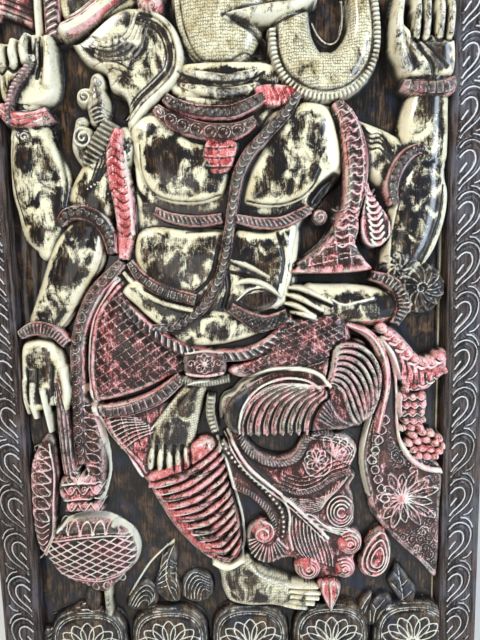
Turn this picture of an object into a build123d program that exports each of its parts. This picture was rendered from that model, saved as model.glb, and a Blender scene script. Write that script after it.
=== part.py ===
from build123d import *
import os
from math import cos, hypot, pi, radians, sin

# A carved temple door leaf: a framed panel with a standing elephant-headed figure in high relief.
# Millimetres. X runs across the door, Z up from its foot, and the carved side faces -Y.
# The origin is the middle of the bottom edge.

# Driving dimensions of the leaf
door_width = 915.0
door_height = 2032.0
frame_depth = 64.0
stile_width = 70.0
rail_height = 70.0

# Panel
ground_depth = 22.0
panel_base = 24.0
panel_gap = 1.0
tongue_length = 8.0
tongue_thickness = 12.0
tongue_setback = 6.0
groove_clearance = 0.2
groove_end_gap = 2.0

# Joints between stiles and rails
tenon_length = 50.0
tenon_thickness = 20.0
tenon_shoulder = 10.0
tenon_end_gap = 2.0
peg_side = 9.0
peg_length = 44.0
peg_spacing = 24.0
peg_clearance = 0.1

# Battens across the back and the nails that hold them
batten_height = 90.0
batten_side_gap = 1.0
batten_chamfer = 4.0
batten_shares = {"batten_upper": 0.84, "batten_middle": 0.5, "batten_lower": 0.16}
nail_side = 5.0
nail_bite = 15.0
nail_head_side = 12.0
nail_head_thickness = 2.5
nail_edge_margin = 60.0
nail_columns = 3
nail_row_spacing = 46.0
nail_clearance = 0.1

# Leaf-scroll border on the face of the frame
band_margin_inner = 13.0
band_width = 46.0
band_depth = 4.0
leaf_pitch_target = 88.35
leaf_head_radius = 20.0
leaf_head_facets = 4
leaf_top_inset = 2.5
leaf_root_gap = 1.5
leaf_tip_gap = 2.0
leaf_sink = 1.0
eye_scale = 0.52
eye_facets = 2
eye_depth = 2.0

# Relief: heights below are measured from the cut ground of the panel
relief_high = 38.0
relief_body = 32.0
relief_limb = 28.0
relief_cloth = 22.0
relief_low = 14.0
relief_step = 2.0
root_depth = 4.0

# The carver's drawing is squared up: a place on it is a count of squares, and a height a count of levels
drawing_columns = 775
drawing_rows = 1892
drawing_first_row = 70
drawing_levels = 38
FLAT_ENOUGH = 0.0001
SHARPEST_CORNER = 0.5

# Worked out from the sizes above
face_y = -frame_depth / 2
back_y = frame_depth / 2
ground_y = face_y + ground_depth
panel_back_y = ground_y + panel_base
opening_width = door_width - 2 * stile_width
opening_height = door_height - 2 * rail_height
panel_width = opening_width - 2 * panel_gap
panel_height = opening_height - 2 * panel_gap
groove_depth = panel_gap + tongue_length + groove_end_gap
tongue_y = ground_y + tongue_setback + tongue_thickness / 2
batten_thickness = back_y - panel_back_y
across = opening_width / drawing_columns
upward = opening_height / drawing_rows
outward = relief_high / drawing_levels


def block(x_low, x_high, y_low, y_high, z_low, z_high):
    """A squared piece of wood between two corners."""
    size = (x_high - x_low, y_high - y_low, z_high - z_low)
    middle = ((x_low + x_high) / 2, (y_low + y_high) / 2, (z_low + z_high) / 2)
    return Pos(*middle) * Box(*size)


# Frame joinery

def tenon_box(side, level, end_gap):
    """A rail's tenon at one end: side is -1 or 1, level the rail's foot. The gap is spare mortise depth."""
    shoulder_x = side * opening_width / 2
    tip_x = side * (opening_width / 2 + tenon_length + end_gap)
    groove_low = groove_depth if level > 0 else 0.0
    groove_high = groove_depth if level == 0 else 0.0
    low_z = level + max(groove_low, tenon_shoulder)
    high_z = level + rail_height - max(groove_high, tenon_shoulder)
    x_low, x_high = sorted((shoulder_x, tip_x))
    return block(x_low, x_high, -tenon_thickness / 2, tenon_thickness / 2, low_z, high_z)


def peg_centres():
    """X and Z of each peg: two through every tenon."""
    centres = []
    for side in (-1, 1):
        for level in (0.0, door_height - rail_height):
            for step in (-0.5, 0.5):
                x = side * (opening_width / 2 + tenon_length / 2)
                centres.append((x, level + rail_height / 2 + step * peg_spacing))
    return centres


def peg(x, z, clearance):
    """A square peg driven in from the back, flush with it. The clearance widens it into its hole."""
    half = peg_side / 2 + clearance
    return block(x - half, x + half, back_y - peg_length, back_y, z - half, z + half)


def groove_cut_stile(side):
    """The groove for the panel's tongue in a stile's inner edge."""
    edge_x = side * opening_width / 2
    deep_x = side * (opening_width / 2 + groove_depth)
    x_low, x_high = sorted((edge_x, deep_x))
    half = tongue_thickness / 2 + groove_clearance
    z_low = rail_height - groove_depth
    z_high = door_height - rail_height + groove_depth
    return block(x_low, x_high, tongue_y - half, tongue_y + half, z_low, z_high)


def groove_cut_rail(level):
    """The groove for the panel's tongue in a rail's inner edge."""
    half = tongue_thickness / 2 + groove_clearance
    z_low = rail_height - groove_depth if level == 0 else level
    half_width = opening_width / 2
    return block(-half_width, half_width, tongue_y - half, tongue_y + half, z_low, z_low + groove_depth)


# Leaf-scroll border. A leaf is drawn with u across the band from its inner side and v along it.

def leaf_outline(pitch, facets, scale=1.0):
    """One curled leaf: a root at the inner edge and a round head, as points round it."""
    head_u = band_width - leaf_head_radius - leaf_tip_gap
    head_v = pitch * 0.62
    points = [(leaf_root_gap, pitch * 0.06)]
    for step in range(facets):
        turn = radians(-40.0 + 230.0 * step / (facets - 1))
        points.append((head_u + leaf_head_radius * cos(turn), head_v + leaf_head_radius * 1.25 * sin(turn)))
    points.append((leaf_root_gap, pitch * 0.5))
    middle_u = band_width * 0.42
    middle_v = pitch * 0.52
    return [(middle_u + scale * (u - middle_u), middle_v + scale * (v - middle_v)) for u, v in points]


def inset(points, distance):
    """The same outline drawn in by a distance, its sides kept parallel except at very sharp corners."""
    area = 0.0
    for (ax, az), (bx, bz) in zip(points, points[1:] + points[:1]):
        area += ax * bz - bx * az
    turn = 1.0 if area > 0 else -1.0
    drawn = []
    for index, (x, z) in enumerate(points):
        ax, az = points[index - 1]
        bx, bz = points[(index + 1) % len(points)]
        before = hypot(x - ax, z - az)
        after = hypot(bx - x, bz - z)
        first_x, first_z = (az - z) / before, (x - ax) / before
        second_x, second_z = (z - bz) / after, (bx - x) / after
        reach = turn * distance / max(1 + first_x * second_x + first_z * second_z, SHARPEST_CORNER)
        drawn.append((x + (first_x + second_x) * reach, z + (first_z + second_z) * reach))
    return drawn


def corners_at(points, y):
    """An outline's corners in the plane at depth y."""
    return [Vector(x, y, z) for x, z in points]


def band_leaves(place, count, pitch, start):
    """Raised leaves along a band, each with a hollow eye. place turns u and v into x and z."""
    leaves = []
    eyes = []
    sunk_y = face_y + band_depth
    for index in range(count):
        shift = start + index * pitch
        outline = [place(u, v + shift) for u, v in leaf_outline(pitch, leaf_head_facets)]
        top = inset(outline, leaf_top_inset)
        leaves.append(flats([corners_at(outline, sunk_y + leaf_sink), corners_at(top, face_y)]))
        eye = [place(u, v + shift) for u, v in leaf_outline(pitch, eye_facets, eye_scale)]
        eyes.append(flats([corners_at(eye, face_y - leaf_sink), corners_at(eye, face_y + eye_depth)]))
    return leaves, eyes


def stile(side):
    """A stile: full height, grooved, mortised, drilled for pegs and carved with climbing leaves."""
    x_low, x_high = sorted((side * opening_width / 2, side * door_width / 2))
    body = block(x_low, x_high, face_y, back_y, 0, door_height)
    body -= groove_cut_stile(side)
    for level in (0.0, door_height - rail_height):
        body -= tenon_box(side, level, tenon_end_gap)
    for x, z in peg_centres():
        if x * side > 0:
            body -= peg(x, z, peg_clearance)
    band_inner = side * (opening_width / 2 + band_margin_inner)
    band_outer = side * (opening_width / 2 + band_margin_inner + band_width)
    band_low, band_high = sorted((band_inner, band_outer))
    band_top = door_height - band_margin_inner
    body -= block(band_low, band_high, face_y, face_y + band_depth, band_margin_inner, band_top)
    run = door_height - 2 * band_margin_inner
    count = round(run / leaf_pitch_target)
    pitch = run / count

    def place(u, v):
        return band_inner + side * u, v

    leaves, eyes = band_leaves(place, count, pitch, band_margin_inner)
    return body.fuse(*leaves).cut(*eyes)


def rail(level):
    """A rail between the stiles, with tenons, a groove, peg holes and the same leaves."""
    half_width = opening_width / 2
    body = block(-half_width, half_width, face_y, back_y, level, level + rail_height)
    for side in (-1, 1):
        body += tenon_box(side, level, 0.0)
    body -= groove_cut_rail(level)
    for x, z in peg_centres():
        if abs(z - level - rail_height / 2) < rail_height / 2:
            body -= peg(x, z, peg_clearance)
    inner_edge = rail_height if level == 0 else level
    outward = -1.0 if level == 0 else 1.0
    band_near = inner_edge + outward * band_margin_inner
    band_far = band_near + outward * band_width
    band_low, band_high = sorted((band_near, band_far))
    body -= block(
        -half_width + band_margin_inner,
        half_width - band_margin_inner,
        face_y,
        face_y + band_depth,
        band_low,
        band_high,
    )
    run = opening_width - 2 * band_margin_inner
    count = round(run / leaf_pitch_target)
    pitch = run / count

    def place(u, v):
        return -half_width + v, band_near + outward * u

    leaves, eyes = band_leaves(place, count, pitch, band_margin_inner)
    return body.fuse(*leaves).cut(*eyes)


# Relief forms. Their places are on the carver's drawing, which is stretched to the panel.

ROUND = [(-1.0, None), (-0.7, 0.82), (0.0, 1.0), (0.7, 0.82), (1.0, None)]
FLAT = [(-1.0, None), (-0.8, 1.0), (0.8, 1.0), (1.0, None)]
FINGER = [(-1.0, None), (-0.45, 1.0), (0.45, 1.0), (1.0, None)]
RIDGE = [(-1.0, None), (0.0, 1.0), (1.0, None)]


def at(x, z):
    """A place on the drawing as X and Z on the panel."""
    return x * across, rail_height + (z - drawing_first_row) * upward


def flats(rings):
    """A solid of straight cuts between rings that have as many corners as each other."""
    faces = [Face(Wire.make_polygon(rings[0], close=True)), Face(Wire.make_polygon(rings[-1], close=True))]
    for low, high in zip(rings, rings[1:]):
        for index in range(len(low)):
            after = (index + 1) % len(low)
            corners = [low[index], low[after], high[after], high[index]]
            normal = (corners[1] - corners[0]).cross(corners[3] - corners[0])
            if abs(normal.normalized().dot(corners[2] - corners[0])) < FLAT_ENOUGH:
                faces.append(Face(Wire.make_polygon(corners, close=True)))
            else:
                faces.append(Face(Wire.make_polygon(corners[:3], close=True)))
                faces.append(Face(Wire.make_polygon([corners[0], corners[2], corners[3]], close=True)))
    solid = Solid(Shell(faces))
    return solid


def strand(stations, profile=ROUND):
    """A limb, fold or band along a path. Each station has x, z, half width and height."""
    sections = []
    last = len(stations) - 1
    places = [at(x, z) for x, z, half, height in stations]
    for index, (x, z, half, height) in enumerate(stations):
        before = places[max(index - 1, 0)]
        after = places[min(index + 1, last)]
        run = hypot(after[0] - before[0], after[1] - before[1])
        along_x = (after[0] - before[0]) / run
        along_z = (after[1] - before[1]) / run
        centre_x, centre_z = places[index]
        corners = []
        for share, lift in profile:
            rise = -root_depth if lift is None else lift * height * outward
            offset = share * half * across
            corners.append(Vector(centre_x - along_z * offset, ground_y - rise, centre_z + along_x * offset))
        sections.append(corners)
    return flats(sections)


def pad(outline, height, slope=0.5):
    """A raised shape with a flat top and sloping sides."""
    placed = [at(x, z) for x, z in outline]
    top = inset(placed, height * slope)
    return flats([corners_at(placed, ground_y + root_depth), corners_at(top, ground_y - height)])


def dome(x, z, half_across, half_up, height, facets=10, tilt=0.0):
    """A rounded mass cut in flats, such as a belly or a knee."""
    centre_x, centre_z = at(x, z)
    lean_x = cos(radians(tilt))
    lean_z = sin(radians(tilt))
    rings = []
    for share, lift in ((1.0, None), (0.88, 0.6), (0.5, 1.0)):
        y = ground_y + root_depth if lift is None else ground_y - lift * height
        corners = []
        for step in range(facets):
            turn = 2 * pi * (step + 0.5) / facets
            u = share * half_across * across * cos(turn)
            v = share * half_up * upward * sin(turn)
            corners.append((centre_x + u * lean_x - v * lean_z, centre_z + u * lean_z + v * lean_x))
        rings.append(corners_at(corners, y))
    return flats(rings)


def fingers(tips, roots, half, height):
    """A finger or toe from each root to its tip."""
    return [
        strand([(*root, half, height), (*tip, half * 0.85, height * 0.8)], FINGER)
        for root, tip in zip(roots, tips)
    ]


# Parts of the figure

def head():
    forms = [
        dome(-5, 1400, 84, 124, relief_body, 12),
        dome(-5, 1500, 108, 92, relief_body + relief_step, 12),
        pad([(-252, 1328), (-182, 1361), (-118, 1356), (-84, 1322), (-71, 1280), (-97, 1236), (-146, 1198),
             (-166, 1180), (-182, 1236), (-212, 1272)], relief_cloth - relief_step, 0.25),
        pad([(-262, 1350), (-150, 1372), (-95, 1395), (-88, 1480), (-140, 1545), (-215, 1520), (-270, 1440)],
            relief_low + 2 * relief_step, 0.5),
        pad([(92, 1400), (190, 1420), (222, 1470), (200, 1540), (140, 1560), (88, 1500)],
            relief_low + relief_step, 0.5),
        dome(-42, 1462, 20, 11, relief_high, 6),
        dome(44, 1462, 20, 11, relief_high, 6),
        strand([(13, 1352, 11, 34), (60, 1352, 16, 36), (110, 1360, 13, 34), (151, 1372, 4, 26)]),
    ]
    return forms


def crown():
    forms = []
    tiers = ((1585, 1632, 112, 92), (1632, 1688, 84, 66), (1688, 1740, 60, 46), (1740, 1782, 40, 26))
    for low, high, foot, top in tiers:
        forms.append(pad([(-foot, low), (foot, low), (top, high), (-top, high)], relief_limb, 0.3))
    forms.append(dome(0, 1810, 22, 40, relief_limb - 2 * relief_step, 8))
    forms.append(dome(0, 1612, 18, 22, relief_body, 8))
    return forms


def trunk():
    path = [(112, 1395, 42, 32), (108, 1345, 38, 36), (124, 1288, 42, 38), (165, 1258, 42, 38),
            (208, 1276, 36, 37), (232, 1325, 27, 34), (230, 1377, 22, 30), (216, 1420, 19, 28),
            (186, 1440, 15, 24)]
    return [strand(path)]


def neck_and_collar():
    folds = []
    for z, half in ((1262, 62), (1236, 68)):
        folds.append(strand([(-half - 8, z, 8, 18), (-half / 2, z - 8, 13, 22), (0, z - 12, 13, 24),
                             (half / 2, z - 8, 13, 22), (half - 6, z, 8, 18)], FINGER))
    folds.append(strand([(-108, 1232, 9, 24), (-72, 1210, 13, 28), (-20, 1199, 14, 31), (35, 1208, 14, 31),
                         (72, 1226, 13, 30), (112, 1232, 9, 26)], FLAT))
    folds.append(strand([(-120, 1204, 9, 24), (-80, 1180, 13, 30), (-22, 1169, 14, 33), (22, 1174, 13, 34)],
                        FLAT))
    folds.append(pad([(-32, 1154), (15, 1154), (17, 1128), (2, 1104), (-33, 1106)],
                     relief_body + relief_step, 0.1))
    return folds


def torso():
    return [
        pad([(-165, 1190), (-95, 1215), (100, 1215), (178, 1205), (198, 1110), (150, 1040), (118, 1000),
             (112, 900), (112, 850), (60, 790), (-110, 795), (-195, 900), (-170, 985), (-163, 1100)],
            relief_low + 2 * relief_step, 0.6),
        dome(-88, 1115, 76, 72, relief_body),
        dome(103, 1122, 66, 82, relief_body),
        dome(-20, 925, 142, 118, relief_high, 14),
        dome(62, 960, 58, 50, relief_body + relief_step, 8),
    ]


def torso_bands():
    """Chest band, waist bands, belt and the sash across the chest."""
    return [
        strand([(-128, 1041, 9, 20), (-95, 1026, 10, 30), (-40, 1019, 10, 38), (12, 1022, 10, 38),
                (60, 1013, 10, 34), (105, 1016, 10, 30), (145, 1034, 9, 20)], FLAT),
        strand([(-172, 948, 8, 24), (-150, 918, 9, 34), (-110, 896, 10, 40), (-62, 886, 9, 41)], FLAT),
        strand([(-4, 866, 9, 41), (40, 845, 11, 40), (92, 846, 11, 32)], FLAT),
        strand([(-206, 905, 10, 28), (-165, 850, 11, 34), (-112, 812, 12, 36), (-40, 785, 12, 36),
                (28, 787, 12, 36), (72, 806, 12, 34), (110, 846, 10, 30)], FLAT),
        pad([(-82, 790), (-20, 790), (-12, 768), (-22, 744), (-80, 744), (-88, 768)], relief_high, 0.2),
        strand([(-95, 736, 7, 34), (-52, 731, 8, 36), (-8, 736, 7, 34)], FLAT),
        strand([(116, 1226, 9, 30), (94, 1187, 10, 34), (45, 1146, 11, 36), (16, 1098, 11, 36),
                (6, 1040, 11, 38), (-5, 995, 10, 41), (-14, 945, 10, 42)], FLAT),
        strand([(-16, 955, 9, 42), (-34, 903, 9, 43), (-62, 862, 10, 42), (-100, 838, 9, 40),
                (-146, 831, 8, 34)], FLAT),
    ]


def left_raised_arm():
    forms = [
        strand([(-338, 1190, 33, 26), (-326, 1110, 52, 30), (-322, 1050, 51, 30), (-330, 995, 34, 26),
                (-326, 968, 14, 20)]),
        strand([(-344, 1215, 38, 27), (-338, 1262, 44, 30), (-334, 1310, 42, 28)]),
        strand([(-384, 1214, 9, 30), (-346, 1196, 17, 33), (-302, 1206, 15, 30)], FLAT),
        strand([(-319, 1288, 5, 38), (-352, 1246, 5, 38), (-368, 1206, 5, 38)], RIDGE),
        strand([(-311, 1330, 7, 24), (-311, 1560, 7, 24)], FINGER),
        pad([(-376, 1352), (-322, 1346), (-320, 1560), (-350, 1600), (-384, 1520)], relief_low, 0.5),
        strand([(-288, 1330, 13, 16), (-288, 1420, 15, 18), (-292, 1520, 12, 14)], FLAT),
    ]
    forms += fingers(
        [(-371, 1278), (-345, 1282), (-324, 1292), (-292, 1262)],
        [(-366, 1312), (-344, 1326), (-322, 1332), (-297, 1322)],
        11.5,
        38,
    )
    return forms


def left_lower_arm():
    forms = [
        strand([(-178, 1158, 30, 20), (-212, 1105, 44, 26), (-240, 1055, 46, 28)]),
        strand([(-244, 1028, 46, 28), (-276, 945, 47, 30), (-314, 884, 39, 28), (-334, 850, 34, 26)]),
        strand([(-296, 1020, 11, 24), (-270, 1037, 13, 34), (-238, 1032, 14, 36), (-214, 1008, 13, 34),
                (-203, 972, 10, 26)], FLAT),
        strand([(-379, 826, 11, 28), (-350, 837, 13, 33), (-318, 828, 13, 33), (-298, 808, 10, 28)], FLAT),
        strand([(-346, 805, 30, 24), (-344, 750, 42, 27), (-342, 700, 40, 24), (-344, 684, 26, 18)]),
    ]
    forms += fingers(
        [(-338, 646), (-362, 668), (-380, 690)],
        [(-343, 712), (-362, 730), (-376, 742)],
        8.5,
        34,
    )
    forms += fingers([(-312, 690)], [(-310, 752)], 11, 32)
    return forms


def right_raised_arm():
    forms = [
        strand([(226, 1160, 34, 18), (262, 1132, 42, 22), (306, 1096, 46, 24)]),
        strand([(347, 1218, 36, 28), (342, 1172, 43, 30), (336, 1118, 47, 30)]),
        strand([(303, 1240, 11, 30), (345, 1231, 15, 34), (385, 1240, 13, 30)], FLAT),
        strand([(343, 1250, 38, 28), (338, 1300, 46, 30), (334, 1330, 44, 26)]),
    ]
    forms += fingers(
        [(293, 1372), (323, 1386), (349, 1390), (374, 1376)],
        [(300, 1280), (323, 1316), (346, 1316), (370, 1314)],
        11.5,
        36,
    )
    forms.append(strand([(352, 1384, 10, 24), (352, 1440, 12, 24), (352, 1478, 30, 26), (352, 1520, 26, 24),
                         (352, 1560, 4, 16)]))
    return forms


def right_lower_arm():
    forms = [
        strand([(344, 1112, 36, 22), (336, 1070, 46, 30), (326, 1005, 52, 32), (304, 945, 36, 28)]),
        strand([(348, 1129, 9, 24), (312, 1116, 12, 34), (288, 1084, 12, 36), (286, 1040, 9, 28)], FLAT),
        strand([(296, 864, 30, 30), (250, 864, 36, 34), (205, 869, 38, 36), (158, 874, 31, 34)]),
        strand([(262, 915, 9, 30), (296, 890, 12, 38), (300, 858, 12, 38), (286, 834, 8, 30)], FLAT),
    ]
    forms += fingers(
        [(104, 898), (98, 882), (100, 868), (112, 856)],
        [(168, 892), (166, 880), (164, 866), (160, 850)],
        8,
        36,
    )
    forms.append(dome(288, 930, 20, 20, relief_body + relief_step, 6))
    forms.append(dome(314, 918, 18, 18, relief_body, 6))
    forms.append(dome(336, 899, 18, 18, relief_limb + relief_step, 6))
    forms.append(dome(367, 895, 18, 24, relief_limb - relief_step, 6))
    forms.append(dome(324, 876, 16, 14, relief_limb, 6))
    forms.append(dome(356, 862, 16, 16, relief_cloth + relief_step, 6))
    return forms


def left_scarf():
    """The sash that hangs from the left shoulder and the curled strip below it."""
    return [
        strand([(-184, 1174, 12, 26), (-193, 1125, 20, 30), (-184, 1060, 20, 30), (-180, 1005, 17, 28),
                (-188, 955, 10, 26)], FLAT),
        strand([(-192, 946, 12, 28), (-233, 910, 12, 28), (-262, 862, 12, 28), (-279, 810, 12, 26),
                (-284, 730, 12, 24), (-286, 640, 13, 22), (-282, 560, 18, 20), (-268, 500, 12, 18)], FLAT),
        pad([(-272, 720), (-256, 685), (-240, 610), (-240, 560), (-256, 505), (-272, 560), (-276, 640)],
            relief_low, 0.4),
    ]


def right_scarf():
    return [
        strand([(186, 1212, 12, 28), (214, 1160, 20, 32), (221, 1090, 20, 32), (212, 1025, 17, 32),
                (198, 990, 26, 34), (178, 940, 60, 36)], FLAT),
        strand([(236, 1060, 6, 22), (232, 1000, 7, 24), (256, 972, 7, 24), (276, 992, 5, 22)], RIDGE),
    ]


def left_leg():
    """Left thigh under its cloth, the hem and the hanging foot."""
    forms = [
        dome(-168, 800, 92, 118, relief_body, 12, 8),
        pad([(-262, 760), (-246, 672), (-228, 630), (-180, 556), (-130, 560), (-80, 690), (-90, 735),
             (-180, 720)], relief_cloth, 0.5),
        strand([(-256, 690, 11, 26), (-205, 684, 13, 32), (-145, 702, 13, 34), (-92, 738, 11, 32)], FLAT),
        strand([(-203, 918, 5, 24), (-240, 868, 6, 28), (-262, 800, 6, 28), (-264, 740, 6, 26)], FINGER),
        strand([(-72, 712, 26, 26), (-98, 668, 38, 30), (-120, 620, 42, 30), (-124, 598, 38, 26)]),
    ]
    forms += fingers(
        [(-158, 568), (-141, 564), (-124, 563), (-107, 566), (-91, 572)],
        [(-152, 604), (-138, 606), (-122, 606), (-107, 606), (-93, 606)],
        8,
        30,
    )
    return forms


def right_leg():
    """Right thigh and the folded shin with its fan of pleats."""
    forms = [
        strand([(40, 800, 44, 28), (110, 805, 46, 34), (180, 790, 46, 38), (226, 752, 40, 38)]),
        strand([(236, 742, 30, 34), (222, 700, 46, 38), (150, 690, 58, 36), (70, 690, 60, 34), (14, 664, 40, 28),
                (-16, 650, 20, 22)]),
    ]
    for x in (44, 70, 96, 122, 148):
        forms.append(strand([(x, 634, 7, 32), (x + 2, 690, 8, 40), (x + 30, 736, 5, 30)], RIDGE))
    for x, rise in ((178, 42), (204, 42), (230, 38)):
        forms.append(strand([(x - 10, 646, 6, 32), (x + 8, 715, 8, rise), (x - 18, 784, 4, 34)], RIDGE))
    return forms


def standing_leg():
    forms = [
        strand([(-92, 578, 76, 28), (-84, 530, 74, 32), (-60, 470, 60, 33), (-36, 420, 42, 30),
                (-22, 388, 25, 28)]),
    ]
    pleats = 8
    for index in range(pleats):
        share = index / (pleats - 1)
        left_x = -160 + 112 * share
        left_z = 545 - 135 * share
        right_x = -30 + 34 * share
        right_z = left_z + 46 - 14 * share
        forms.append(strand([(left_x, left_z, 4, 26), ((left_x + right_x) / 2, (left_z + right_z) / 2 - 6, 5, 36),
                             (right_x, right_z, 4, 28)], RIDGE))
    forms += [
        strand([(-12, 392, 27, 28), (4, 345, 34, 30), (48, 316, 36, 30), (100, 306, 30, 26)]),
        strand([(-46, 384, 6, 34), (-14, 378, 7, 36), (16, 392, 6, 34)], FLAT),
    ]
    forms += fingers(
        [(150, 318), (152, 306), (150, 296), (142, 286), (128, 280)],
        [(104, 330), (104, 318), (102, 306), (98, 294), (90, 284)],
        6.5,
        26,
    )
    return forms


def mace():
    forms = [
        strand([(-314, 745, 12, 28), (-314, 690, 15, 26), (-308, 560, 18, 26)]),
        strand([(-322, 540, 9, 28), (-290, 548, 10, 32), (-250, 540, 9, 28)], FLAT),
        strand([(-328, 508, 10, 28), (-290, 514, 12, 32), (-246, 508, 10, 28)], FLAT),
        dome(-281, 400, 92, 78, relief_body, 12),
        strand([(-354, 426, 6, 24), (-316, 446, 7, 34), (-281, 450, 7, 36), (-244, 444, 7, 34),
                (-208, 424, 6, 24)], FLAT),
        strand([(-340, 358, 6, 24), (-281, 346, 7, 35), (-222, 362, 6, 24)], FLAT),
        strand([(-281, 330, 16, 24), (-266, 300, 10, 18), (-254, 258, 8, 12)]),
    ]
    for index in range(7):
        z = 418 + 26 * index
        tip_x = -386 + 0.6 * index
        forms.append(strand([(-352, z - 6, 5, 14), (-372, z + 4, 7, 16), (tip_x, z + 2, 4, 10)], RIDGE))
    forms.append(strand([(-352, 405, 5, 16), (-358, 500, 6, 18), (-346, 590, 5, 16)], RIDGE))
    return forms


def right_sash():
    """The broad tail that hangs at the right edge."""
    forms = [
        pad([(282, 828), (322, 792), (359, 774), (384, 778), (382, 738), (354, 710), (312, 706), (288, 726),
             (268, 790)], relief_cloth - relief_step, 0.4),
        pad([(266, 778), (268, 700), (246, 646), (237, 570), (251, 488), (295, 418), (346, 368), (376, 338),
             (384, 420), (384, 552), (330, 572), (303, 620), (300, 700), (290, 742)],
            relief_cloth - 3 * relief_step, 0.4),
        strand([(270, 800, 5, 24), (290, 740, 5, 26), (300, 670, 5, 26), (306, 615, 5, 26), (334, 570, 6, 26),
                (380, 552, 6, 24)], FINGER),
        strand([(274, 690, 4, 22), (274, 590, 4, 22), (290, 515, 4, 22)], RIDGE),
        dome(309, 500, 13, 13, relief_cloth + relief_step, 6),
        dome(352, 602, 34, 28, relief_cloth + relief_step, 8),
    ]
    for x, z in ((322, 690), (336, 664), (322, 640)):
        forms.append(dome(x, z, 15, 13, relief_cloth + relief_step, 6))
    for step in range(5):
        forms.append(strand([(312 + 6 * step, 486 - 10 * step, 3, 18), (332 + 7 * step, 468 - 22 * step, 5, 22),
                             (340 + 8 * step, 430 - 14 * step, 3, 16)], RIDGE))
    return forms


def centre_tail():
    """The carved tail of cloth between the legs, with its rope edge, scroll and lobes."""
    forms = [
        pad([(4, 590), (40, 560), (92, 556), (136, 590), (180, 622), (216, 606), (222, 520), (216, 460),
             (232, 410), (222, 370), (206, 342), (182, 282), (158, 300), (140, 336), (104, 362), (70, 385),
             (30, 400), (20, 450), (40, 500)], relief_low, 0.5),
        strand([(2, 628, 6, 20), (22, 600, 7, 24), (60, 576, 7, 26), (100, 576, 7, 26), (128, 598, 7, 24),
                (136, 634, 6, 20)], FINGER),
        strand([(-2, 590, 5, 20), (40, 542, 6, 26), (90, 503, 6, 26), (140, 466, 6, 26), (174, 420, 5, 22)],
               FINGER),
        dome(56, 432, 36, 40, relief_cloth, 8),
        dome(56, 432, 16, 18, relief_limb + relief_step, 6),
        dome(130, 362, 25, 24, relief_cloth, 8),
        dome(130, 362, 11, 11, relief_limb, 6),
        dome(184, 476, 28, 26, relief_cloth + 2 * relief_step, 8),
        dome(206, 426, 24, 24, relief_cloth + 2 * relief_step, 8),
        dome(200, 368, 23, 24, relief_cloth + relief_step, 8),
        dome(176, 314, 18, 34, relief_cloth + 2 * relief_step, 8),
        pad([(226, 374), (234, 350), (254, 341), (276, 350), (290, 380), (288, 412), (272, 438), (262, 424),
             (252, 402)], relief_low + relief_step, 0.4),
    ]
    for step in range(4):
        forms.append(strand([(120 + 20 * step, 600 - 4 * step, 3, 18), (140 + 20 * step, 566 - 8 * step, 6, 24),
                             (128 + 18 * step, 520 - 10 * step, 4, 18)], RIDGE))
    return forms


def lotus_base():
    """A row of broad petals under the feet, each with a second petal raised on it."""
    forms = []
    petal_pitch = 158
    foot = 104
    waist = 166
    steps = 6
    for index in range(-2, 3):
        centre = 20 + index * petal_pitch
        for half, top, height in ((78, 284, relief_low), (54, 262, relief_cloth)):
            outline = [(centre - half, waist)]
            for step in range(1, steps):
                share = step / steps
                rise = (top - waist) * sin(pi * share) ** 0.6
                outline.append((centre - half + 2 * half * share, waist + rise))
            outline += [(centre + half, waist), (centre + half - 8, foot), (centre - half + 8, foot)]
            forms.append(pad(outline, height, 0.4))
    forms.append(strand([(-384, 92, 14, 20), (384, 92, 14, 20)], FLAT))
    return forms


def foliage():
    """Low leaves behind the lotus at both sides."""
    leaves = [
        [(-131, 282), (-156, 320), (-152, 350), (-142, 380), (-123, 412), (-118, 372), (-110, 331), (-118, 300)],
        [(-215, 300), (-195, 333), (-177, 352), (-160, 400), (-146, 380), (-160, 330), (-180, 300)],
        [(250, 235), (252, 270), (272, 300), (296, 296), (304, 262), (290, 236)],
        [(282, 236), (308, 282), (290, 320), (306, 361), (340, 320), (346, 300), (338, 262), (318, 240)],
        [(322, 256), (338, 268), (362, 246), (360, 232), (330, 236)],
    ]
    return [pad(outline, relief_low - relief_step, 0.5) for outline in leaves]


def relief():
    makers = (head, crown, trunk, neck_and_collar, torso, torso_bands, left_raised_arm, left_lower_arm,
              right_raised_arm, right_lower_arm, left_scarf, right_scarf, left_leg, right_leg, standing_leg,
              mace, right_sash, centre_tail, lotus_base, foliage)
    forms = []
    for maker in makers:
        forms += maker()
    return forms


def carved_panel(nail_holes):
    """The panel: one slab with its tongue all round and the figure standing on its ground."""
    half_width = panel_width / 2
    z_low = rail_height + panel_gap
    z_high = z_low + panel_height
    slab = block(-half_width, half_width, ground_y, panel_back_y, z_low, z_high)
    tongue = block(
        -half_width - tongue_length,
        half_width + tongue_length,
        tongue_y - tongue_thickness / 2,
        tongue_y + tongue_thickness / 2,
        z_low - tongue_length,
        z_high + tongue_length,
    )
    front = ground_y - 2 * relief_high
    back = ground_y + (root_depth + tongue_setback) / 2
    waste = block(-door_width, door_width, front, back, z_low - door_height, z_high + door_height)
    waste -= block(-half_width, half_width, front, back, z_low, z_high)
    blank = (slab + tongue).cut(*nail_holes)
    return blank.fuse(*relief()).cut(waste)


# Battens and nails

def batten(share, holes):
    """A flat bar across the back of the panel, between the stiles."""
    half = opening_width / 2 - batten_side_gap
    middle = rail_height + share * opening_height
    bar = block(-half, half, panel_back_y, back_y, middle - batten_height / 2, middle + batten_height / 2)
    long_edges = bar.edges().filter_by(Axis.X).group_by(Axis.Y)[-1]
    return chamfer(long_edges, batten_chamfer).cut(*holes)


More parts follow.
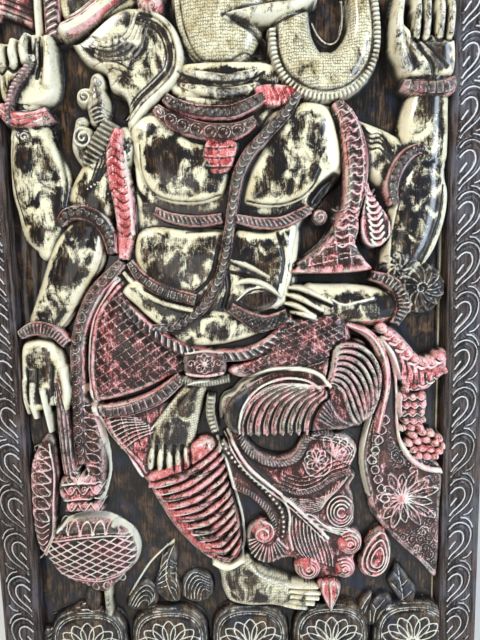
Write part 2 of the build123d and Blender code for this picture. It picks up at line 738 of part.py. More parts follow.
def nail_places():
    places = []
    for share in batten_shares.values():
        middle = rail_height + share * opening_height
        reach = opening_width / 2 - nail_edge_margin
        for column in range(nail_columns):
            x = -reach + 2 * reach * column / (nail_columns - 1)
            for step in (-0.5, 0.5):
                places.append((x, middle + step * nail_row_spacing))
    return places


def nail(x, z, clearance):
    """A forged nail with a square shank and head, set flush. The clearance widens it into its hole."""
    half = nail_side / 2 + clearance
    head_half = nail_head_side / 2 + clearance
    tip_y = panel_back_y - nail_bite - clearance
    neck_y = back_y - nail_head_thickness - clearance
    shank = block(x - half, x + half, tip_y, neck_y, z - half, z + half)
    return shank + block(x - head_half, x + head_half, neck_y, back_y, z - head_half, z + head_half)


def save(shape, name):
    shape.label = name
    export_step(shape, f"parts/{name}.step")


def main():
    os.makedirs("parts", exist_ok=True)
    holes = [nail(x, z, nail_clearance) for x, z in nail_places()]
    save(stile(-1), "left_stile")
    save(stile(1), "right_stile")
    save(rail(door_height - rail_height), "top_rail")
    save(rail(0.0), "bottom_rail")
    save(carved_panel(holes), "carved_panel")
    for name, share in batten_shares.items():
        middle = rail_height + share * opening_height
        near = [hole for hole in holes if abs(hole.center().Z - middle) < batten_height / 2]
        save(batten(share, near), name)
    save(Compound(children=[nail(x, z, 0.0) for x, z in nail_places()]), "batten_nails")
    save(Compound(children=[peg(x, z, 0.0) for x, z in peg_centres()]), "tenon_pegs")


main()
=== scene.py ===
import math

import bmesh
import bpy
import numpy as np
from mathutils import Matrix, Vector


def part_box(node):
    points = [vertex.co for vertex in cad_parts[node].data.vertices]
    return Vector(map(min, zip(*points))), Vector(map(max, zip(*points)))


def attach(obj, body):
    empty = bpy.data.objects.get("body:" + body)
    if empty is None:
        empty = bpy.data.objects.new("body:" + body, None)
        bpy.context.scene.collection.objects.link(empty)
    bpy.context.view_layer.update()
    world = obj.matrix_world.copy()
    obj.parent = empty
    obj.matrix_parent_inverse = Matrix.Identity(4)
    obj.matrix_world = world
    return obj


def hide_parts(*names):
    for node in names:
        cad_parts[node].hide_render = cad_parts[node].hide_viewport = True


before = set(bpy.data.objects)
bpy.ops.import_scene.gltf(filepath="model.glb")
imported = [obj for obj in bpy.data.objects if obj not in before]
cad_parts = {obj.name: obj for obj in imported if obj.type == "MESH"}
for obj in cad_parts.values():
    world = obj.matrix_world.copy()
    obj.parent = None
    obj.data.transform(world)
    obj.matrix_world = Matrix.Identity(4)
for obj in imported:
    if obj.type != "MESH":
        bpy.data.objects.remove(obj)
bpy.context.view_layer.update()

# Sizes in millimetres unless a name says otherwise
MM = 0.001
GROUND_DEPTH = 22.0
PANEL_GAP = 1.0
FINE_CELL = 1.65
COARSE_CELL = 3.0
TALL_RELIEF = 44.0
TALL_SPARE = 9.0
FRAME_CELL = 1.7
DETAIL_LOW = 208.0
DETAIL_HIGH = 1392.0
DETAIL_TILES = 5
MARGIN_CELLS = 14
FRAME_MARGIN = 4
LEAF_PITCH = 88.35
BAND_INNER = 13.0
EDGE_ROUNDING = 2.5
EDGE_DROP = 1.6


def node_box(name):
    """A CAD node's lowest and highest corners in millimetres."""
    low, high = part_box(name)
    return [value / MM for value in low], [value / MM for value in high]


left_low, left_high = node_box("left_stile")
right_low, right_high = node_box("right_stile")
top_low, top_high = node_box("top_rail")
foot_low, foot_high = node_box("bottom_rail")
FACE_Y = left_low[1]
BACK_Y = left_high[1]
GROUND_Y = FACE_Y + GROUND_DEPTH
PANEL_BACK_Y = node_box("carved_panel")[1][1]
OPENING_LEFT = left_high[0]
OPENING_RIGHT = right_low[0]
OPENING_FOOT = foot_high[2]
OPENING_TOP = top_low[2]


# Smooth curves and grids

def smooth(points, closed=False, steps=6):
    """A Catmull-Rom curve through rows of numbers, as an array."""
    rows = np.array(points, float)
    if len(rows) < 3 and not closed:
        shares = np.linspace(0, 1, steps + 1)[:, None]
        return rows[0] * (1 - shares) + rows[-1] * shares
    if closed:
        rows = np.vstack([rows[-1], rows, rows[0], rows[1]])
    else:
        rows = np.vstack([2 * rows[0] - rows[1], rows, 2 * rows[-1] - rows[-2]])
    shares = (np.arange(steps) / steps)[:, None]
    pieces = []
    for before, start, end, after in zip(rows, rows[1:], rows[2:], rows[3:]):
        curve = 2 * start + (end - before) * shares
        curve = curve + (2 * before - 5 * start + 4 * end - after) * shares**2
        curve = curve + (3 * start - before - 3 * end + after) * shares**3
        pieces.append(0.5 * curve)
    if not closed:
        pieces.append(rows[-2][None, :])
    return np.vstack(pieces)


def ramp(value, low, high):
    """0 below low, 1 above high, smooth between them; it also falls when low is above high."""
    share = np.clip((value - low) / (high - low), 0.0, 1.0)
    return share * share * (3 - 2 * share)


def blurred(field, reach):
    """A field averaged over a square of cells, three times."""
    for _ in range(3):
        for axis in (0, 1):
            padded = np.pad(field, [(reach + 1, reach) if axis == k else (0, 0) for k in (0, 1)], mode="edge")
            total = np.cumsum(padded, axis=axis)
            width = 2 * reach + 1
            if axis == 0:
                field = (total[width:] - total[:-width]) / width
            else:
                field = (total[:, width:] - total[:, :-width]) / width
    return field


def thin(distance, half, cell):
    """1 along a line of some half width and 0 off it, softened over a cell."""
    return np.clip((half + 0.5 * cell - np.abs(distance)) / cell, 0, 1)


def stations_at(path, row):
    """The third and fourth numbers of a path's rows, between rows too."""
    index = np.clip(row.astype(int), 0, len(path) - 2)
    share = row - index
    return [path[index, k] * (1 - share) + path[index + 1, k] * share for k in (2, 3)]


# The fourth mask darkens: dark wash in cuts, and painted shade in hollows, in grooves and beside ridges.
PAINTS = ("cream", "red", "chalk", "hollow", "rub", "hatch", "bare")
FAR = 1e9
LIMB_SQUARENESS = 2.2
RIM_MOST = 13.0
RIM_SHARE = 0.42
FILL_FADE = 4.0
OVERLAP = 0.6
WASH_AND_SHADE_REACH = 5.0


class Carving:
    """Heights over a rectangle of the door, with masks that say how each spot is painted."""

    def __init__(self, x_low, x_high, z_low, z_high, cell, margin=MARGIN_CELLS):
        self.columns = max(2, round((x_high - x_low) / cell))
        self.rows = max(2, round((z_high - z_low) / cell))
        self.margin = margin
        self.step_x = (x_high - x_low) / self.columns
        self.step_z = (z_high - z_low) / self.rows
        self.x = x_low + self.step_x * np.arange(-margin, self.columns + margin + 1)
        self.z = z_low + self.step_z * np.arange(-margin, self.rows + margin + 1)
        shape = (len(self.z), len(self.x))
        self.height = np.zeros(shape)
        self.masks = {name: np.zeros(shape) for name in PAINTS}
        self.masks["bare"] += 1.0

    def window(self, points, reach):
        """The slices of the grid round some points, or None where they miss it."""
        low_x = np.searchsorted(self.x, points[:, 0].min() - reach)
        high_x = np.searchsorted(self.x, points[:, 0].max() + reach)
        low_z = np.searchsorted(self.z, points[:, 1].min() - reach)
        high_z = np.searchsorted(self.z, points[:, 1].max() + reach)
        if high_x - low_x < 1 or high_z - low_z < 1:
            return None
        return slice(low_z, high_z), slice(low_x, high_x)

    def along(self, path, reach):
        """Distance to a path, its side, the run along it and the row share, over the window round it."""
        spot = self.window(path, reach)
        if spot is None:
            return None
        px, pz = np.meshgrid(self.x[spot[1]], self.z[spot[0]])
        best = np.full(px.shape, FAR)
        side = np.ones(px.shape)
        run = np.zeros(px.shape)
        row = np.zeros(px.shape)
        length = 0.0
        for index in range(len(path) - 1):
            ax, az = path[index, :2]
            bx, bz = path[index + 1, :2]
            dx, dz = bx - ax, bz - az
            span = math.hypot(dx, dz)
            if span < 1e-6:
                continue
            share = np.clip(((px - ax) * dx + (pz - az) * dz) / span**2, 0, 1)
            gap_x = px - ax - share * dx
            gap_z = pz - az - share * dz
            gap = np.hypot(gap_x, gap_z)
            closer = gap < best
            best = np.where(closer, gap, best)
            side = np.where(closer, np.sign(dx * gap_z - dz * gap_x), side)
            run = np.where(closer, length + share * span, run)
            row = np.where(closer, index + share, row)
            length += span
        return spot, best, side, run, row, length

    def inside(self, outline):
        """Distance inwards from a closed outline, negative outside it."""
        ring = np.vstack([outline, outline[:1]])
        found = self.along(ring, 2.0)
        if found is None:
            return None
        spot, gap = found[:2]
        px, pz = np.meshgrid(self.x[spot[1]], self.z[spot[0]])
        within = np.zeros(px.shape, bool)
        for (ax, az), (bx, bz) in zip(ring[:-1, :2], ring[1:, :2]):
            if az == bz:
                continue
            crosses = ((az > pz) != (bz > pz)) & (px < (bx - ax) * (pz - az) / (bz - az) + ax)
            within ^= crosses
        return spot, np.where(within, gap, -gap)

    def lay(self, spot, where, height, paint, rub=0.0, hatch=0.0, chalk=0.0, hollow=0.0, share=1.0):
        """Sets new heights and paint at part of a window, where they stand above what is there."""
        over = where & (height > self.height[spot] - OVERLAP)
        self.height[spot] = np.where(over, height, self.height[spot])
        fresh = {"cream": 0.0, "red": 0.0, "bare": 0.0, "chalk": chalk, "hollow": hollow, "rub": rub,
            "hatch": hatch}
        fresh["bare"] = 1.0 - share
        fresh[paint] = 1.0 if paint == "bare" else share
        for name, value in fresh.items():
            mask = self.masks[name]
            mask[spot] = np.where(over, value, mask[spot])

    def limb(self, stations, paint="cream", worn=1.0, hatch=0.0, ring=0.0, share=1.0, chalk=0.0):
        """A rounded form along a path. Each station has x, z, radius and height."""
        path = smooth(stations)
        found = self.along(path, path[:, 2].max() + 2)
        if found is None:
            return
        spot, gap, _, _, row, _ = found
        radius, rise = stations_at(path, row)
        across = gap / np.maximum(radius, 0.5)
        height = rise * np.clip(1 - across**LIMB_SQUARENESS, 0, 1) ** (1 / LIMB_SQUARENESS)
        depth = radius - gap
        rim = min(RIM_MOST, RIM_SHARE * float(path[:, 2].max()))
        rub = worn * ramp(depth, rim * 0.3, rim * 1.7)
        hollow = 0.8 * thin(depth - ring, 0.9, self.step_x) if ring else 0.0
        self.lay(spot, across < 1, height, paint, rub=rub, hatch=hatch, hollow=hollow, share=share,
            chalk=chalk)

    def patch(self, outline, rise, bevel=6.0, crown=0.0, paint="red", worn=0.0, hatch=0.0, straight=False,
            crown_reach=30.0, rim=9.0, share=1.0):
        """A raised field with rounded edges and a crowned middle."""
        path = np.array(outline, float) if straight else smooth(outline, closed=True, steps=5)
        found = self.inside(path)
        if found is None:
            return
        spot, depth = found
        edge = np.clip(depth / bevel, 0, 1)
        height = rise * np.sqrt(np.clip(1 - (1 - edge) ** 2, 0, 1))
        height = height + crown * (1 - (1 - np.clip(depth / crown_reach, 0, 1)) ** 2)
        rub = worn * ramp(depth, rim * 0.5, rim * 2.2)
        self.lay(spot, depth > 0, height, paint, rub=rub, hatch=hatch, share=share)

    def band(self, stations, pattern=None, pitch=14.0, paint="red", relief=2.5, lip=3.6, core=0.3, pale=0.85,
            lip_share=1.0):
        """A strip along a path: two lips and a core worked with a pattern. Stations as for a limb."""
        path = smooth(stations)
        found = self.along(path, path[:, 2].max() + 2)
        if found is None:
            return
        spot, gap, side, run, row, length = found
        half, rise = stations_at(path, row)
        across = side * gap
        depth = half - gap
        ends = (row > 0.001) & (row < len(path) - 1.001)
        height = rise * np.clip(1 - np.abs(gap / np.maximum(half, 0.5)) ** 5, 0, 1) ** 0.35
        chalk = 0.75 * thin(depth - 0.5 * lip, 0.7, self.step_x) if lip else np.zeros(gap.shape)
        hollow = np.zeros(gap.shape)
        share = np.full(gap.shape, lip_share)
        if pattern:
            turns = max(1, round(length / pitch))
            unit = length / turns
            x = (np.mod(run / unit, 1) - 0.5) * unit
            width = np.maximum(half - lip - 1.3, 1.5)
            inner = ramp(depth, lip + 0.3, lip + 1.8)
            bumps, light, dark = pattern(x, across, unit, width, self.step_x)
            height = height + relief * (inner * (bumps - 0.8))
            chalk = chalk * (1 - inner) + pale * light * inner
            # a dark groove inside each lip, with painted shade in it; the pattern's dark is partly the core's
            # dark paint and partly painted shade
            groove = thin(depth - lip - 0.9, 0.8, self.step_x)
            hollow = np.maximum(dark * inner, 0.85 * groove)
            height = height - 1.6 * groove
            share = lip_share * (1 - inner) + core * inner
        self.lay(spot, (depth > 0) & ends, height, paint, chalk=chalk, hollow=hollow, share=share)

    def line(self, points, half, rise, chalk=0.0, hollow=0.0, paint=None, closed=False, steps=5, shadow=0.0):
        """Adds a ridge, or cuts a groove where the rise is negative, along a smooth path.
        A shadow darkens a thin line on its right hand, or on its left where the shadow is negative."""
        path = smooth(points, closed=closed, steps=steps)
        if closed:
            path = np.vstack([path, path[:1]])
        reach = half + 1.2 * self.step_x
        found = self.along(path, reach + 3.2)
        if found is None:
            return
        spot, gap, side = found[:3]
        across = np.clip(1 - (gap / reach) ** 2, 0, 1)
        strong = np.clip((half + 0.5 * self.step_x - gap) / self.step_x, 0, 1)
        self.height[spot] = self.height[spot] + rise * across
        for name, value in (("chalk", chalk), ("hollow", hollow)):
            mask = self.masks[name]
            mask[spot] = mask[spot] * (1 - strong) + np.maximum(value, mask[spot] * 0.2) * strong
        if shadow:
            beside = thin(gap - half - 1.6, 0.9, self.step_x) * (side * shadow < 0)
            self.masks["hollow"][spot] = np.maximum(self.masks["hollow"][spot], abs(shadow) * beside)
            self.height[spot] = self.height[spot] - 1.2 * abs(shadow) * beside
        if paint:
            for name in ("cream", "red", "bare"):
                mask = self.masks[name]
                mask[spot] = mask[spot] * (1 - strong) + (1.0 if name == paint else 0.0) * strong
            rub = self.masks["rub"]
            rub[spot] = rub[spot] * (1 - strong)

    def parallel(self, points, distance, half, rise, **paint):
        """A line as above, moved to the left of its path by a distance."""
        self.line(offset(points, distance), half, rise, steps=1, **paint)

    def ridge(self, points, half, rise, chalk, shadow=0.9, **paint):
        """A pale line with a painted shadow beside it, in a shallow groove."""
        self.line(points, half, rise, chalk=chalk, shadow=shadow, **paint)

    def cut(self, points, half, depth, dark=1.0):
        """A groove painted dark inside, partly as dark wash and partly as painted shade."""
        self.line(points, half, -depth, hollow=dark)

    def boss(self, x, z, half_x, half_z, rise, **paint):
        """A red dome that isn't worn."""
        self.dome(x, z, half_x, half_z, rise, "red", worn=0, **paint)

    def dome(self, x, z, half_x, half_z, rise, paint="cream", tilt=0.0, worn=1.0, squareness=2.0, hatch=0.0,
            share=1.0):
        """A rounded mass on an ellipse."""
        reach = max(half_x, half_z)
        spot = self.window(np.array([[x, z]]), reach + 1)
        if spot is None:
            return
        px, pz = np.meshgrid(self.x[spot[1]] - x, self.z[spot[0]] - z)
        lean = math.radians(tilt)
        u = (px * math.cos(lean) + pz * math.sin(lean)) / half_x
        v = (-px * math.sin(lean) + pz * math.cos(lean)) / half_z
        across = np.hypot(u, v)
        height = rise * np.clip(1 - across**squareness, 0, 1) ** (1 / squareness)
        self.lay(spot, across < 1, height, paint, rub=worn * ramp(across, 0.8, 0.35), hatch=hatch,
            share=share)

    def scroll(self, x, z, radius, turns=1.6, start=0.0, turn=1, half=2.0, rise=3.0, chalk=0.8):
        """A spiral line winding in to a centre."""
        angles = np.linspace(0, 2 * math.pi * turns, int(8 * turns) + 2)
        radii = radius * (1 - 0.85 * angles / angles[-1])
        begin = math.radians(start)
        points = np.stack([x + radii * np.cos(begin + turn * angles),
            z + radii * np.sin(begin + turn * angles)], 1)
        self.line(points, half, rise, chalk=chalk, steps=3)

    def bead(self, x, z, radius, rise, paint="red", chalk_rim=0.7):
        """A small round boss with a pale rim."""
        base = self.at(x, z)
        self.dome(x, z, radius, radius, base + rise, paint, worn=0.0, squareness=2.6)
        turns = np.linspace(0, 2 * math.pi, 9)[:-1]
        ring = np.stack([x + 0.8 * radius * np.cos(turns), z + 0.8 * radius * np.sin(turns)], 1)
        self.line(ring, max(1.6, 0.25 * radius), 0.4, chalk=chalk_rim, closed=True, steps=3)

    def at(self, x, z):
        """The height at the grid point nearest to a place."""
        row = int(np.clip(np.searchsorted(self.z, z), 0, len(self.z) - 1))
        column = int(np.clip(np.searchsorted(self.x, x), 0, len(self.x) - 1))
        return float(self.height[row, column])

    def fill(self, outline, pattern, relief):
        """Works a pattern of x and z into a field: bumps, chalk, and dark hollows that are partly dark paint
        and partly painted shade.
        """
        found = self.inside(smooth(outline, closed=True, steps=5))
        if found is None:
            return
        spot, depth = found
        px, pz = np.meshgrid(self.x[spot[1]], self.z[spot[0]])
        strong = ramp(depth, 0.0, FILL_FADE)
        bumps, pale, dark = pattern(px, pz, self.step_x)
        self.height[spot] = self.height[spot] + relief * strong * (bumps - 0.7)
        for name, value in (("chalk", pale), ("hollow", dark)):
            mask = self.masks[name]
            mask[spot] = mask[spot] * (1 - strong) + value * strong

    def wash_shade_and_highlight(self):
        """Darkens what lies deep beside higher wood, partly as dark wash and partly as painted shade, and
        lightens what stands out as a thin edge, partly as rubbing and partly as painted highlight.
        """
        cells = max(1, round(WASH_AND_SHADE_REACH / self.step_x))
        around = blurred(self.height, cells)
        wide = blurred(self.height, cells * 2)
        # painted shade: darker where the wood lies below the wood round it, added to the dark wash
        sunk = np.clip((around - self.height) / 3.5, 0, 1) * 0.7
        sunk = sunk + np.clip((wide - self.height) / 9.0, 0, 1) * 0.5
        self.masks["hollow"] = np.clip(self.masks["hollow"] + sunk, 0, 1)
        # thin proud edges get pale paint that is partly rubbing and partly a painted highlight
        self.masks["edge"] = np.clip((self.height - around) / 2.2 - 0.35, 0, 1)


# Patterns of a strip, from the place x along one unit and t across it, in millimetres.
# Each gives bumps, pale lines, and dark hollows that are partly dark paint and partly painted shade.

def ribs(x, t, unit, width, cell):
    wave = 0.5 + 0.5 * np.cos(2 * np.pi * x / unit)
    return wave, 0.9 * thin(x, 0.12 * unit, cell), 0.9 * (1 - wave) ** 1.5


def rope(x, t, unit, width, cell):
    leaning = np.mod(x + 0.55 * t + 0.5 * unit, unit) - 0.5 * unit
    return ribs(leaning, t, unit, width, cell)


def studs(x, t, unit, width, cell):
    gap = np.maximum(np.abs(x) - 0.5 * unit, np.abs(t) - width)
    frame_line = thin(gap + 2.0, 0.7, cell)
    square = ramp(gap, -1.5, -3.5)
    return square, 0.85 * frame_line, 0.75 * square + 0.9 * thin(gap, 0.8, cell)


def discs(x, t, unit, width, cell):
    radius = 0.5 * min(unit, 2 * float(width.max())) - 0.8
    gap = np.hypot(x, t)
    top = np.sqrt(np.clip(1 - (gap / radius) ** 2, 0, 1))
    dark = 0.55 * top + 0.9 * ramp(gap, radius, radius + 1.5)
    return top, 0.75 * thin(gap - radius * 0.86, 0.6, cell), dark


def beads(x, t, unit, width, cell):
    radius = 0.5 * min(unit, 2 * float(width.max())) - 0.4
    gap = np.hypot(x, t)
    top = np.sqrt(np.clip(1 - (gap / radius) ** 2, 0, 1))
    return top, 0.9 * ramp(gap, radius * 0.75, radius * 0.3), 0.95 * ramp(gap, radius * 0.85, radius + 0.8)


def scales(x, t, unit, width, cell):
    gap = np.hypot((x + 0.5 * unit) / unit, 0.98 * t / width)
    arc = (gap - 0.9) * np.minimum(unit, width)
    return ramp(gap, 1.0, 0.6), 0.85 * thin(arc, 0.8, cell), 0.5 + 0.4 * thin(arc - 2.2, 0.9, cell)


def curls(x, t, unit, width, cell):
    reach = np.minimum(0.5 * unit, width)
    gap = np.hypot(x / (0.5 * unit), (t + 0.15 * width) / width) * reach
    outer = thin(gap - 0.88 * reach, 0.65, cell)
    inner = thin(gap - 0.42 * reach, 0.6, cell) * (x + t > -0.3 * reach)
    lines = np.maximum(outer, inner)
    return 0.4 + 0.6 * lines, 0.9 * lines, 0.55 * (1 - lines)


def crossed(x, t, unit, width, cell):
    one = np.mod(x + t + 0.5 * unit, unit) - 0.5 * unit
    two = np.mod(x - t + 0.5 * unit, unit) - 0.5 * unit
    lines = np.maximum(thin(one, 0.5, cell), thin(two, 0.5, cell))
    return 0.4 + 0.6 * lines, 0.8 * lines, 0.8 * (1 - lines)


def netting(spacing, first, second, pale=0.9, dark=0.6, half=0.7):
    """A pattern of x and z: a lattice of thin raised lines at two angles, in degrees."""
    def pattern(x, z, cell):
        crest = np.zeros(x.shape)
        for angle in (first, second):
            turn = math.radians(angle)
            phase = (x * math.cos(turn) + z * math.sin(turn)) / spacing
            crest = np.maximum(crest, thin((np.mod(phase, 1) - 0.5) * spacing, half, cell))
        return crest, pale * crest, dark * (1 - crest)
    return pattern


def speckle(spacing):
    """A pattern of x and z: small crowded curls."""
    def pattern(x, z, cell):
        row = np.floor(z / spacing)
        column = np.floor(x / spacing + 0.5 * np.mod(row, 2))
        u = np.mod(x / spacing + 0.5 * np.mod(row, 2), 1) - 0.5
        v = np.mod(z / spacing, 1) - 0.5
        lean = np.mod(column * 2.4 + row * 1.7, 3) - 1.0
        gap = np.hypot(u, v + 0.15 * lean) * spacing
        turned = np.arctan2(v, u) * 0.5 + lean
        lines = thin(np.mod(gap + 1.1 * turned, 0.3 * spacing) - 0.15 * spacing, 0.6, cell)
        return lines, 0.85 * lines, 0.55 * (1 - lines)
    return pattern


# The figure, from the crown to the lotus. Places are across and up the door in millimetres.

def offset(points, distance):
    """A path moved sideways to its left by a distance."""
    path = smooth(points, steps=4)
    along = np.gradient(path[:, :2], axis=0)
    along /= np.maximum(np.linalg.norm(along, axis=1, keepdims=True), 1e-6)
    return path[:, :2] + distance * np.stack([-along[:, 1], along[:, 0]], 1)


def spoke(x, z, turn, wide, tall=None):
    """The place at an angle, in radians, on a circle or an ellipse round a centre."""
    return x + wide * math.cos(turn), z + (wide if tall is None else tall) * math.sin(turn)


def small_ring(x, z, radius):
    """Four places that a closed curve turns into a small ring."""
    return [spoke(x, z, turn, radius) for turn in (0, 1.57, 3.14, 4.71)]


def flow(f, first, last, count, half=0.9, rise=1.8, chalk=0.8):
    """Lines that pass step by step from one path's course to another's."""
    first, last = np.array(first, float), np.array(last, float)
    for share in np.linspace(0, 1, count):
        f.ridge([tuple(spot) for spot in (1 - share) * first + share * last], half, rise, chalk, shadow=0.8)


def loop(f, x, z, reach, width, angle, rise=1.6, chalk=0.8, half=0.9):
    """The outline of one petal that starts at a point. The angle is in degrees."""
    turn = math.radians(angle)
    u = (math.cos(turn), math.sin(turn))
    v = (-u[1], u[0])
    shape = ((0.05, 0.0), (0.35, 0.42), (0.72, 0.5), (1.0, 0.0), (0.72, -0.5), (0.35, -0.42))
    points = [(x + reach * a * u[0] + width * b * v[0], z + reach * a * u[1] + width * b * v[1])
        for a, b in shape]
    f.line(points, half, rise, chalk=chalk, closed=True, steps=4)


def rosette(f, x, z, radius, count, chalk=0.7):
    """An open flower of looped petals."""
    for index in range(count):
        loop(f, x, z, radius, 5.5 * radius / count, 360 * index / count, 2.0, chalk)
    f.line(small_ring(x, z, 0.22 * radius), 0.9, 2.0, chalk=chalk, closed=True, steps=3)


def finger(f, root, tip, radii, rises, lift=0, worn=0.4):
    """A finger or toe between two places, a little fuller halfway."""
    middle = ((root[0] + tip[0]) / 2, (root[1] + tip[1]) / 2 + lift)
    places = (root, middle, tip)
    f.limb([(*place, radius, rise) for place, radius, rise in zip(places, radii, rises)], worn=worn)


def carve_crown(f):
    tiers = ((1582, 1634, 114, 96), (1634, 1690, 88, 70), (1690, 1742, 62, 48), (1742, 1786, 42, 28))
    for low, high, foot, top in tiers:
        f.patch([(-foot, low), (foot, low), (top, high), (-top, high)], 30, 8, 4, straight=True, share=0.6)
        f.band([(-foot + 4, low + 11, 9, 33), (0, low + 6, 10, 36), (foot - 4, low + 11, 9, 33)], discs)
        f.band([(-top, high - 9, 6, 32), (0, high - 12, 6, 34), (top, high - 9, 6, 32)], rope, 8)
    f.boss(0, 1812, 22, 42, 30, share=0.6)
    f.boss(0, 1612, 22, 26, 38)
    rosette(f, 0, 1612, 20, 8)
    for x in (-8, 0, 8):
        f.line([(x * 0.6, 1780), (x * 1.6, 1812), (0, 1850)], 1.1, 2, chalk=0.8)


def carve_head(f):
    f.patch([(92, 1400), (190, 1420), (222, 1470), (200, 1540), (140, 1560), (88, 1500)], 18, 8, 4, "cream",
        worn=0.6, hatch=0.5)
    f.patch([(-262, 1350), (-150, 1372), (-95, 1395), (-88, 1480), (-140, 1545), (-215, 1520), (-270, 1440)],
        20, 8, 4, "cream", worn=0.6, hatch=0.5)
    f.dome(-5, 1500, 108, 94, 36, worn=0.6, hatch=0.6)
    f.dome(-5, 1400, 84, 126, 34, worn=0.35, hatch=1)
    for x in (-42, 44):
        f.dome(x, 1462, 21, 12, 40, worn=0)
        f.dome(x, 1462, 7, 7, 41, "bare", worn=0)
        f.ridge([(x - 24, 1460), (x, 1477), (x + 24, 1462)], 2.2, 3, 0.6)
    # the jaw's rolled edge round the hatched cheek
    jaw = [(-82, 1385), (-77, 1345), (-66, 1313), (-52, 1291), (-34, 1280), (-10, 1277), (12, 1280),
        (34, 1291), (56, 1288)]
    f.ridge(jaw, 1.5, 2.5, 0.5)
    f.parallel(jaw, 9, 1.2, -2, hollow=0.9)
    # ear, with its rolled rim, folds and comb of short cuts
    f.patch([(-249, 1319), (-190, 1362), (-154, 1374), (-118, 1366), (-94, 1350), (-78, 1326), (-69, 1300),
        (-72, 1272), (-84, 1250), (-104, 1232), (-127, 1212), (-151, 1193), (-170, 1170), (-168, 1215),
        (-177, 1233), (-196, 1243), (-203, 1267), (-220, 1277), (-236, 1287), (-250, 1305), (-268, 1338)], 23,
        7, 5, "cream", worn=0.72, rim=7, hatch=0.3)
    rim = [(-140, 1364), (-112, 1356), (-92, 1338), (-82, 1314), (-79, 1290), (-86, 1264), (-108, 1241),
        (-138, 1216), (-163, 1187)]
    f.limb([(x + 1, z, 9, 29) for x, z in rim], worn=0.25)
    f.parallel(rim, -3, 0.8, -1.6, hollow=0.9)
    for distance, half in ((-10, 1.5), (-14, 0.8), (-19, 1)):
        f.parallel(rim, distance, half, -2.4, hollow=1)
    comb = [(-134, 1346), (-117, 1322), (-114, 1296), (-126, 1270), (-150, 1244)]
    f.band([(x, z, 8, 25) for x, z in comb], ribs, 4, "cream", relief=1.6, lip=1, core=0.8, pale=0.3)
    flow(f, [(-228, 1330), (-199, 1318), (-168, 1330), (-150, 1362)], [(-246, 1322), (-205, 1290),
        (-152, 1296), (-128, 1346)], 5, half=0.8, rise=-1.4, chalk=0)
    flow(f, [(-222, 1284), (-190, 1290), (-156, 1274)], [(-192, 1252), (-176, 1262), (-162, 1250)], 3,
        half=0.8, rise=-1.4, chalk=0)
    for index in range(7):
        f.bead(-214 + 11 * index, 1312 + 3.5 * index - 0.5 * index * index, 4.5, 1.2, "cream", 0.5)
    # head cloth that crosses the ear
    cloth = [(-266, 1340), (-232, 1356), (-200, 1378), (-165, 1398), (-120, 1412)]
    f.limb([(x, z, 15, 33) for x, z in cloth], worn=0.5)
    f.parallel(cloth, 10, 4, 1.5, paint="red")
    f.parallel(cloth, -11, 3, 1, paint="red", shadow=0.9)
    f.parallel(cloth, 5, 0.8, -1.2, hollow=0.8)
    f.boss(-123, 1378, 22, 20, 40, squareness=3)
    f.boss(-123, 1378, 10, 9, 43)
    for index in range(14):
        turn = 2 * math.pi * index / 14
        f.line([spoke(-123, 1378, turn, 11, 10), spoke(-123, 1378, turn, 20, 18)], 1, 1.6, chalk=0.8)


def carve_trunk(f):
    f.patch([(26, 1284), (58, 1290), (90, 1283), (104, 1262), (96, 1242), (60, 1240), (34, 1250)], 12, 6, 2,
        "bare")
    f.limb([(104, 1405, 42, 32), (110, 1346, 35, 36), (120, 1300, 36, 38), (143, 1264, 41, 40),
        (185, 1258, 42, 40), (216, 1282, 35, 38), (231, 1325, 27, 35), (227, 1378, 22, 31),
        (214, 1424, 19, 28), (184, 1440, 15, 24)], worn=0.45, hatch=1)
    rim = [(80, 1334), (84, 1290), (100, 1256), (128, 1232), (164, 1222), (200, 1227), (230, 1246),
        (250, 1278), (256, 1322), (250, 1384)]
    f.band([(x, z, 8, 29) for x, z in rim], ribs, 7.4, "cream", relief=3.2, lip=0.8, core=0.95, pale=0.9)
    f.parallel(rim, 8.5, 1.2, -2, hollow=0.95)
    f.parallel(rim, 12, 1.1, 1.6, chalk=0.5)
    inner = [(150, 1350), (160, 1330), (176, 1316), (193, 1320), (202, 1345), (201, 1384)]
    f.ridge(inner, 1.6, 2.2, 0.7, shadow=-0.9)
    f.parallel(inner, -7, 1, -1.5, hollow=0.8)
    # tusk
    f.limb([(4, 1350, 8, 40), (40, 1353, 14, 43), (80, 1357, 18, 43), (118, 1364, 12, 42),
        (154, 1375, 3, 36)], worn=0.7)
    f.cut([(14, 1349), (46, 1341), (84, 1338), (122, 1352), (150, 1370)], 1.6, 2.5)
    f.cut([(20, 1362), (60, 1372), (100, 1376), (140, 1378)], 1.2, 2, 0.9)
    f.cut([(-2, 1354), (33, 1338), (52, 1328), (66, 1312), (76, 1284)], 2.4, 4)
    f.line([(0, 1364), (30, 1352), (52, 1338), (72, 1320)], 1.2, 1.5, chalk=0.6)


